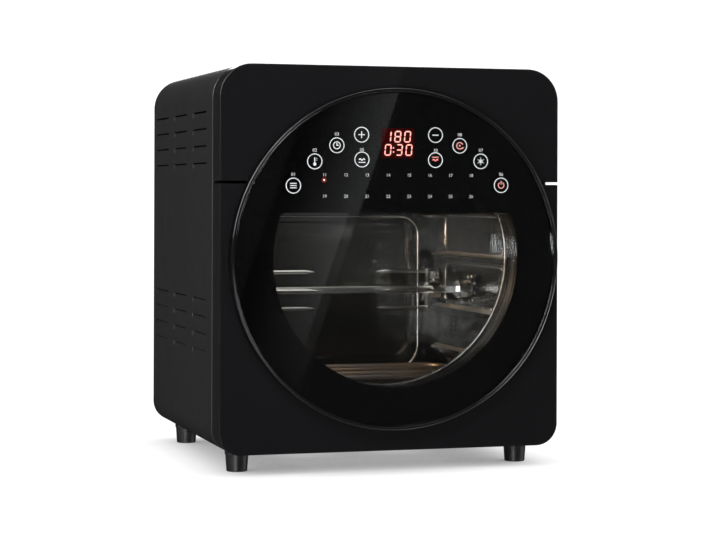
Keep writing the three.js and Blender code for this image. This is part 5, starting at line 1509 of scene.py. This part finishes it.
class OVEN_OT_rotisserie(bpy.types.Operator):
    """Build the spit with its two forks and their thumb screws."""

    bl_idname = "oven.rotisserie"
    bl_label = "Rotisserie"

    def execute(self, context):
        shaft = span("spit_shaft")
        head, neck = shaft.x0 + 3 * MM, shaft.x0 + 12 * MM
        wide, slim = 3.5 * MM, 2.4 * MM
        profile = [
            (0, shaft.x0), (2.8 * MM, shaft.x0), (wide, shaft.x0 + 0.7 * MM), (wide, head - 0.4 * MM),
            (3.1 * MM, head), (slim, head), (slim, neck + 1 * MM), (0, neck + 1 * MM),
        ]
        bar = prism(spit_square(SPIT_HALF), neck, shaft.x1, "x")
        bar = join(bar, lathe(profile, "x", CAVITY_MID_Y, SPIT_Z, 32))
        dress(
            bar, "spit_bar", bright_steel(), "spit", ["spit_shaft"],
            edge=sizes().sheet_round, angle=40,
        )
        for side, sign in SIDES:
            screw_x = sign * (FORK_X + (FORK_LENGTH + FORK_PLATE) / 2)
            self.fork(side, sign, screw_x)
            self.knob(side, screw_x)
        return {"FINISHED"}

    def fork(self, side, sign, screw_x):
        """One fork: a hub, a pressed cross and four pointed prongs."""
        y, z = CAVITY_MID_Y, SPIT_Z
        near, far = sign * FORK_X, sign * (FORK_X + FORK_LENGTH)
        low, high = sorted((near, sign * (FORK_X + FORK_PLATE)))
        profile = [
            (0, near), (HUB_RADIUS, near), (HUB_RADIUS, far - sign * MM), (HUB_RADIUS - MM, far), (0, far),
        ]
        hub = lathe(profile, "x", y, z, 40)
        half, corner = 3.5 * MM, 3.4 * MM
        arms = [
            prism(rounded(y - across, y + across, z - up, z + up, corner), low, high, "x")
            for across, up in ((FORK_REACH, half), (half, FORK_REACH))
        ]
        root = near + sign * FORK_PLATE / 2
        shoulder, tip = near - sign * PRONG_STRAIGHT, near - sign * PRONG_LENGTH
        profile = [
            (0, root), (PRONG_RADIUS, root), (PRONG_RADIUS, shoulder), (0.25 * MM, tip + sign * 0.3 * MM),
            (0, tip),
        ]
        prongs = [
            lathe(profile, "x", y + PRONG_RING * math.cos(a), z + PRONG_RING * math.sin(a), 20)
            for a in whole_turn(4)
        ]
        ends = sorted((near - sign * OVERRUN, far + sign * OVERRUN))
        bore = prism(spit_square(SPIT_HALF + SEAT), *ends, "x")
        thread = rod("z", 2.5 * MM, z, z + 12 * MM, screw_x, y)
        dress(
            cut(join(hub, *arms, *prongs), bore, thread), f"fork_{side}_prongs", bright_steel(),
            f"fork_{side}", [f"fork_{side}"], edge=sizes().sheet_round, angle=40,
        )

    def knob(self, side, screw_x):
        """A fork's thumb screw: a thin shank under a fluted knob."""
        y, low = CAVITY_MID_Y, span(f"fork_screw_{side}").z0
        steps = KNOB_FLUTES * 6
        pairs = [
            (circle(screw_x, y, radius * MM, steps), low + rise * MM)
            for radius, rise in ((0.001, 0), (1.6, 0), (2.2, 0.6), (2.2, 7))
        ]
        for share, rise in ((0.86, 7), (1, 7.8), (1, 13.2), (0.86, 14), (0.5, 14)):
            loop = []
            for a in whole_turn(steps):
                radius = KNOB_RADIUS * share * (0.955 + 0.045 * math.cos(KNOB_FLUTES * a))
                loop.append((screw_x + radius * math.cos(a), y + radius * math.sin(a)))
            pairs.append((loop, low + rise * MM))
        name = f"fork_screw_{side}"
        dress(skin(pairs, "z"), name + "_knob", bright_steel(), name, [name], angle=40)


class OVEN_OT_lamp(bpy.types.Operator):
    """Build the lamp's domed lens and its bulb."""

    bl_idname = "oven.lamp"
    bl_label = "Lamp"

    def execute(self, context):
        self.cover()
        self.bulb()
        return {"FINISHED"}

    def cover(self):
        """The glass dome with its flange on the cavity's wall."""
        lens = span("lamp_lens")
        wall, face, tip = lens.x0, lens.x0 + 1.5 * MM, lens.x1
        dome, sheet, flange, edge = 13.5 * MM, 1.5 * MM, 17 * MM, 0.6 * MM
        hollow, depth = dome - sheet, tip - sheet - wall
        outer = [(dome * math.sin(a), face + (tip - face) * math.cos(a)) for a in quarter(8)]
        inner = [(hollow * math.sin(a), wall + depth * math.cos(a)) for a in quarter(8)]
        profile = outer + [(flange - edge, face), (flange, face - edge), (flange, wall)] + inner[::-1]
        dress(
            lathe(profile, "x", LAMP_Y, LAMP_Z, 64), "lamp_dome",
            glass("Lamp glass", (1.0, 0.93, 0.8), 0.05), "housing", ["lamp_lens"], angle=40,
        )

    def bulb(self):
        """The bulb's glass, a neck that swells into a round end."""
        bulb = span("lamp_bulb")
        neck, belly, end = 4 * MM, 6 * MM, 5 * MM
        low, high = bulb.x0, bulb.x1 - belly
        profile = [(0, low), (neck, low), (neck, low + end)]
        profile += [
            (neck + (belly - neck) * math.sin(a), low + end + belly * (1 - math.cos(a)))
            for a in quarter(8)[1:]
        ]
        profile += [(belly * math.cos(a), high + belly * math.sin(a)) for a in quarter(8)]
        dress(
            lathe(profile, "x", LAMP_Y, LAMP_Z, 40), "lamp_bulb_envelope",
            lit("Lamp bulb", (1.0, 0.82, 0.6), 6), "housing", ["lamp_bulb"], angle=40,
        )


VENT_ROWS = 5
VENT_PITCH = 10 * MM
VENT_X = 36 * MM
VENT_TOP = BASE_Z + 318 * MM
VENT_REACH = 26 * MM
VENT_HALF = 1.8 * MM
GLAND_PLACE = (112 * MM, BASE_Z + 34 * MM)
GLAND_HOLE = 6.3 * MM
SCREW_INSET = SHEET + 7 * MM


class OVEN_OT_rear(bpy.types.Operator):
    """Build the vented rear panel, its screws and the cord gland."""

    bl_idname = "oven.rear"
    bl_label = "Rear panel"

    def execute(self, context):
        near, far = REAR_PANEL_Y, REAR_PANEL_Y + SHEET
        tools = []
        for _, sign in SIDES:
            for row in range(VENT_ROWS):
                x, z = sign * VENT_X, VENT_TOP - row * VENT_PITCH
                points = rounded(
                    x - VENT_REACH, x + VENT_REACH, z - VENT_HALF, z + VENT_HALF, VENT_HALF * 0.98, steps=6
                )
                tools.append(prism(points, near - OVERRUN, far + OVERRUN))
        tools.append(rod("y", GLAND_HOLE, near - OVERRUN, far + OVERRUN, *GLAND_PLACE, 40))
        plate = cut(prism(body_outline(SHEET + SEAT), near, far), *tools)
        dress(
            plate, "rear_sheet", powder_coat(), "housing", ["rear_panel"],
            edge=sizes().sheet_round, angle=40,
        )
        edge = HALF_WIDTH - SCREW_INSET
        low, high = BASE_Z + SCREW_INSET, TOP_Z - SCREW_INSET
        middle = (low + high) / 2
        places = ((edge / 2, low), (edge / 2, high), (edge, middle - edge / 2), (edge, middle + edge / 2))
        signed = [(sign * x, z) for _, sign in SIDES for x, z in places]
        for count, (x, z) in enumerate(signed, 1):
            self.screw(x, z, far, count)
        self.gland(*GLAND_PLACE)
        return {"FINISHED"}

    def screw(self, x, z, face, count):
        """A pan-headed screw with a cross recess."""
        radius, high, rim, shank, root = 3 * MM, 1.5 * MM, 0.3 * MM, 1.5 * MM, 4 * MM
        dome = [(radius * math.cos(a), face + rim + (high - rim) * math.sin(a)) for a in quarter(6)]
        profile = [(0, face - root), (shank, face - root), (shank, face), (radius, face)] + dome
        head = lathe(profile, "y", x, z, 32)
        arm, wide = 1.5 * MM, 0.4 * MM
        corners = [(-arm, -wide), (arm, -wide), (arm, wide), (-arm, wide)]
        top, low = face + high + OVERRUN, face + high - 0.9 * MM
        blades = []
        for turn in (math.radians(17 * count), math.radians(17 * count + 90)):
            c, s = math.cos(turn), math.sin(turn)
            blades.append(prism([(x + a * c - b * s, z + a * s + b * c) for a, b in corners], low, top))
        dress(cut(head, *blades), f"rear_screw_{count}", zinc_steel(), "housing")

    def gland(self, x, z):
        """The grooved bush that the cord would leave by."""
        node = span("cord_gland")
        near, far = REAR_PANEL_Y - SEAT, REAR_PANEL_Y + SHEET + SEAT
        bore, neck, wide, edge = 3.6 * MM, 6 * MM, 9 * MM, 0.6 * MM
        profile = [
            (bore, node.y0), (wide - edge, node.y0), (wide, node.y0 + edge), (wide, near), (neck, near),
            (neck, far), (wide, far), (wide, far + 1.9 * MM), (wide - 0.7 * MM, far + WALL),
            (neck + edge, node.y1 - 1.6 * MM), (neck - 0.4 * MM, node.y1), (bore + edge, node.y1),
            (bore, node.y1 - edge),
        ]
        dress(
            lathe(profile, "y", x, z, 48, ring=True), "cord_bush", black_plastic(), "housing",
            ["cord_gland"],
        )


# The CAD pieces that keep their shape

def kept_finishes():
    """Node and finish of every CAD piece that stays."""
    iron = finish(
        "Motor laminations", (0.33, 0.34, 0.36), 0.42, metal=0.95, scale=90, stretch=(1, 1, 14), shift=0.4,
        rough_shift=0.2, relief=0.05 * MM,
    )
    blades = finish("Cast blades", (0.55, 0.55, 0.54), 0.4, metal=1, scale=300, relief=0.03 * MM)
    board = finish("Board lacquer", (0.01, 0.075, 0.03), 0.34, scale=500, shift=0.3, relief=0.01 * MM)
    ceramic = finish("Glazed ceramic", (0.68, 0.65, 0.58), 0.32, scale=260, shift=0.1)
    magnet = finish("Plated magnet", (0.3, 0.3, 0.31), 0.3, metal=1, scale=200)
    red = finish("Display body", (0.02, 0.003, 0.003), 0.3, scale=200, shift=0.3)
    rows = {
        zinc_steel(): (
            "base_plate heater_support_front heater_support_rear fan_chamber motor_bracket"
            " rotisserie_motor board_bracket hinge_bracket_left hinge_bracket_right"
        ),
        bright_steel(): (
            "spit_bearing temperature_probe fan_shaft spit_drive hinge_pin_left hinge_pin_right"
            " strike_plate_left strike_plate_right"
        ),
        liner_steel(): "drip_tray fan_cover",
        powder_coat(): "front_frame",
        board: "power_board touch_board",
        ceramic: "lamp_socket thermal_cutout",
        iron: "fan_motor",
        blades: "hot_impeller cooling_impeller",
        magnet: "door_magnet_left door_magnet_right",
        red: "display_module",
        black_plastic(): "door_sensor",
    }
    return [(node, made) for made, names in rows.items() for node in names.split()]


THIN_EDGE = 0.2 * MM
THICK_EDGE = 0.35 * MM


class OVEN_OT_kept(bpy.types.Operator):
    """Give the CAD pieces that stay their finishes and soft edges."""

    bl_idname = "oven.kept"
    bl_label = "Plates, motors and boards"

    def execute(self, context):
        thin = {"fan_cover", "drip_tray", "front_frame", "base_plate", "fan_chamber"}
        for node, made in kept_finishes():
            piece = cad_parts[node]
            if not piece.material_slots:
                piece.data.materials.append(made)
            for slot in piece.material_slots:
                slot.material = made
            soften(piece, THIN_EDGE if node in thin else THICK_EDGE, 40)
        return {"FINISHED"}


# The studio

CAMERA_PLACE = Vector((-0.568269, -1.915882, 0.254997))
CAMERA_TURN = math.radians(16.819)
CAMERA_ROLL = math.radians(0.182)
CAMERA_SHIFT = -0.10786
FLOOR_REACH = 6


def area_light(name, place_at, target, size, watts, tint=(1, 1, 1), glossy=True):
    """A soft rectangular light that the camera itself doesn't see."""
    lamp = bpy.data.lights.new(name, "AREA")
    lamp.shape, (lamp.size, lamp.size_y) = "RECTANGLE", size
    lamp.energy, lamp.color = watts, tint
    made = link(name, lamp)
    made.location = place_at
    made.rotation_euler = (Vector(target) - Vector(place_at)).to_track_quat("-Z", "Y").to_euler()
    made.visible_camera, made.visible_glossy = False, glossy
    return lamp


CARD_Y = -2.6
CARD_EDGE = 0.629
CARD_LEAN = 0.342
CARD_FADE = 0.2
CARD_DARK_Z = -0.3
CARD_FULL_Z = 0.25


def top_strip(x0, x1):
    """Corners of one length of the strip that hangs in front and overhead."""
    return [(x0, -1.2, 1.7), (x1, -1.2, 1.7), (x1, -1.0, 1.8), (x0, -1.0, 1.8)]


# Name, share of the strips' brightness, corners
CARDS = (
    ("left_card", 1, [(-1.45, -1.75, 0.55), (-2.3, 0.1, 0.55), (-2.3, 0.1, 1.6), (-1.45, -1.75, 1.6)]),
    ("right_card", 0.1, [(1.5, -1.5, 0.2), (1.6, 0.5, 0.2), (1.6, 0.5, 1.5), (1.5, -1.5, 1.5)]),
    ("low_strip", 0.25, [(1.05, -0.8, -0.2), (1.2, 0, -0.25), (1.4, 0, -0.6), (1.25, -0.8, -0.55)]),
    ("top_strip_0", 1 / 0.6, top_strip(-1.4, -0.35)),
    ("top_strip_1", 1 / 4, top_strip(-0.35, 0.15)),
    ("top_strip_2", 1 / 1.2, top_strip(0.15, 0.6)),
    ("top_strip_3", 1 / 4, top_strip(0.6, 2)),
    ("bottom_strip", 1 / 8,
     [(-1.2, -1.2, -1.1), (0.9, -1.2, -1.1), (0.9, -0.8, -1.2), (-1.2, -0.8, -1.2)]),
    ("foot_card", 1.3, [(-1.2, -1.7, -1), (-0.95, -1.84, -1), (-0.95, -1.84, -0.2), (-1.2, -1.7, -0.2)]),
)


def faded(tree, glow):
    """The front card's strength: full at its slanted edge high up, fading away from it and downwards."""
    parts = add(tree, "ShaderNodeSeparateXYZ", on_object(tree)).outputs
    edge = math_node(tree, "ADD", math_node(tree, "MULTIPLY", parts["Z"], CARD_LEAN), CARD_EDGE)
    away = math_node(tree, "DIVIDE", math_node(tree, "SUBTRACT", edge, parts["X"]), CARD_FADE)
    near = math_node(tree, "MAXIMUM", math_node(tree, "SUBTRACT", 1, away), 0)
    rise = add(tree, "ShaderNodeMapRange", Value=parts["Z"], From_Min=CARD_DARK_Z, From_Max=CARD_FULL_Z)
    rise.interpolation_type = "SMOOTHSTEP"
    share = math_node(tree, "MULTIPLY", math_node(tree, "POWER", near, 2), rise.outputs[0])
    return math_node(tree, "MULTIPLY", share, glow)


def card(name, corners, glow, fade=False):
    """A flat glowing sheet that is seen in reflections only, and through glass where it fades."""
    made = solid(corners, [(0, 1, 2, 3)])
    made.name = name
    made.visible_camera = made.visible_diffuse = made.visible_shadow = False
    made.visible_transmission = fade
    sheet, tree, _, out = new_material(name)
    light = add(tree, "ShaderNodeEmission", Strength=faded(tree, glow) if fade else glow)
    feed(tree, out, Surface=light.outputs[0])
    sheet.cycles.emission_sampling = "NONE"
    made.data.materials.append(sheet)
    made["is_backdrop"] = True


class OVEN_OT_studio(bpy.types.Operator):
    """Set the floor, the room, the lights and the camera."""

    bl_idname = "oven.studio"
    bl_label = "Studio"

    def execute(self, context):
        self.camera(context)
        self.floor()
        self.room(context)
        self.lights(studio())
        self.cards(studio())
        context.scene.view_settings.view_transform = "Standard"
        return {"FINISHED"}

    def camera(self, context):
        """The camera, by its place, turn, roll and shift."""
        lens = bpy.data.cameras.new("Camera")
        lens.lens, lens.sensor_width = studio().lens, 36
        lens.shift_y = CAMERA_SHIFT
        lens.clip_start, lens.clip_end = 0.05, 50
        made = link("Camera", lens)
        right = Vector((math.cos(CAMERA_TURN), -math.sin(CAMERA_TURN), 0))
        ahead = Vector((math.sin(CAMERA_TURN), math.cos(CAMERA_TURN), 0))
        up = Vector((0, 0, 1))
        c, s = math.cos(CAMERA_ROLL), math.sin(CAMERA_ROLL)
        side, top = right * c + up * s, up * c - right * s
        turn = Matrix((side, top, -ahead)).transposed().to_4x4()
        made.matrix_world = Matrix.Translation(CAMERA_PLACE) @ turn
        context.scene.camera = made

    def floor(self):
        """The counter: white to the camera but for a painted contact shadow that darkens it close to the
        oven, and a soft grey sheet to the light.
        """
        made = solid(
            [
                (-FLOOR_REACH, -FLOOR_REACH, 0), (FLOOR_REACH, -FLOOR_REACH, 0),
                (FLOOR_REACH, FLOOR_REACH, 0), (-FLOOR_REACH, FLOOR_REACH, 0),
            ],
            [(0, 1, 2, 3)],
        )
        made.name = "floor"
        made.visible_glossy = False
        material, tree, shader, out = new_material("Studio floor")
        grain = use_group(
            tree, grain_group(), Colour=(0.4, 0.4, 0.4, 1), Second_colour=(0.45, 0.45, 0.45, 1), Scale=60
        )
        feed(tree, shader, Base_Color=grain.outputs["Colour"], Roughness=grain.outputs["Roughness"])
        # Painted shadow: ambient occlusion darkens the floor's white glow near the oven, in place of a
        # cast shadow.
        near = add(tree, "ShaderNodeAmbientOcclusion", Distance=60 * MM)
        near.samples = 16
        shade = math_node(tree, "POWER", near.outputs["AO"], 0.55)
        strength = math_node(tree, "MULTIPLY", shade, studio().backdrop)
        glow = add(tree, "ShaderNodeEmission", Strength=strength).outputs[0]
        path = add(tree, "ShaderNodeLightPath").outputs
        clear = add(tree, "ShaderNodeBsdfTransparent").outputs[0]
        unseen = add(tree, "ShaderNodeMixShader", path["Is Glossy Ray"], shader.outputs[0], clear)
        mix = add(tree, "ShaderNodeMixShader", path["Is Camera Ray"], unseen.outputs[0], glow)
        feed(tree, out, Surface=mix.outputs[0])
        made.data.materials.append(material)
        made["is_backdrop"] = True

    def room(self, context):
        """A white backdrop that only the camera sees, and a dim room for everything else."""
        world = bpy.data.worlds.new("Studio room")
        context.scene.world = world
        world.use_nodes = True
        tree, white = world.node_tree, (1, 1, 1, 1)
        seen = feed(tree, tree.nodes["Background"], Color=white, Strength=studio().backdrop)
        unseen = add(tree, "ShaderNodeBackground", Color=white, Strength=studio().ambient)
        path = add(tree, "ShaderNodeLightPath").outputs["Is Camera Ray"]
        mix = add(tree, "ShaderNodeMixShader", path, unseen.outputs[0], seen.outputs[0])
        feed(tree, tree.nodes["World Output"], Surface=mix.outputs[0])

    def lights(self, kit):
        """Soft lights round the oven and two small ones inside its cavity."""
        middle = (0, 0, 0.2)
        area_light("side_light", (-2.0, -0.5, 1.2), middle, (1.0, 1.5), kit.side)
        area_light("front_light", (-1.0, -2.3, 1.8), middle, (1.0, 1.0), kit.front)
        area_light("low_light", (-0.6, -1.6, 0.06), (0, -0.15, 0.1), (0.9, 0.1), kit.low, glossy=False)
        area_light("rear_light", (0.9, 2.4, 1.3), middle, (1.4, 1.4), kit.rear)
        area_light("right_light", (2.3, 0.7, 1.2), middle, (1.2, 1.2), kit.right, glossy=False)
        area_light("top_light", (0.2, 0.1, 2.0), middle, (2.0, 2.0), kit.top)
        lamp = area_light(
            "cavity_lamp", (-CAVITY_HALF + 14 * MM, LAMP_Y, LAMP_Z),
            (0, CAVITY_MID_Y - 20 * MM, SPIT_Z - 20 * MM), (22 * MM, 22 * MM), kit.lamp, colours().lamp,
        )
        lamp.spread = math.radians(150)
        area_light(
            "cavity_ceiling", (0, CAVITY_MID_Y, CEILING_Z - 12 * MM), (0, CAVITY_MID_Y, FLOOR_Z),
            (0.12, 0.12), kit.ceiling, (1, 0.98, 0.95),
        )

    def cards(self, kit):
        """Glowing cards for the reflections: one whose slanted edge the disc shows, and strips."""
        lean = [(CARD_EDGE + CARD_LEAN * z, CARD_Y, z) for z in (-0.9, 0.9)]
        far = [(x - CARD_FADE, y, z) for x, y, z in lean]
        card("front_card", lean + far[::-1], kit.card, True)
        for name, share, corners in CARDS:
            card(name, corners, kit.strip * share)


# Running and listing

STEPS = (
    OVEN_OT_studio, OVEN_OT_casing, OVEN_OT_feet, OVEN_OT_fascia, OVEN_OT_door, OVEN_OT_disc,
    OVEN_OT_window, OVEN_OT_signs, OVEN_OT_display, OVEN_OT_cavity, OVEN_OT_heaters, OVEN_OT_rotisserie,
    OVEN_OT_lamp, OVEN_OT_rear, OVEN_OT_kept,
)


class OVEN_PT_panel(bpy.types.Panel):
    """Lists the steps and the settings of the oven's looks."""

    bl_label = "Air fryer oven"
    bl_space_type = "VIEW_3D"
    bl_region_type = "UI"
    bl_category = "Oven"

    def draw(self, context):
        layout = self.layout
        for step in STEPS:
            layout.operator(step.bl_idname)
        for kit in (sizes(), colours(), studio()):
            column = layout.column()
            for name in kit.bl_rna.properties.keys():
                if name not in ("rna_type", "name"):
                    column.prop(kit, name)


GROUPS = (OVEN_PG_sizes, OVEN_PG_colours, OVEN_PG_studio)


def register():
    for kind in GROUPS + STEPS + (OVEN_PT_panel,):
        bpy.utils.register_class(kind)
    scene = bpy.types.Scene
    scene.oven_sizes = bpy.props.PointerProperty(type=OVEN_PG_sizes, name="Sizes")
    scene.oven_colours = bpy.props.PointerProperty(type=OVEN_PG_colours, name="Colours")
    scene.oven_studio = bpy.props.PointerProperty(type=OVEN_PG_studio, name="Studio")


def unregister():
    scene = bpy.types.Scene
    del scene.oven_sizes, scene.oven_colours, scene.oven_studio
    for kind in reversed(GROUPS + STEPS + (OVEN_PT_panel,)):
        bpy.utils.unregister_class(kind)


def main():
    """Builds every piece in order."""
    register()
    for step in STEPS:
        group, name = step.bl_idname.split(".")
        getattr(getattr(bpy.ops, group), name)()
    boxes = {"cad": cad_box, "visual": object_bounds()}
    {name: [list(low), list(high)] for name, (low, high) in boxes.items()}


if __name__ == "__main__":
    main()
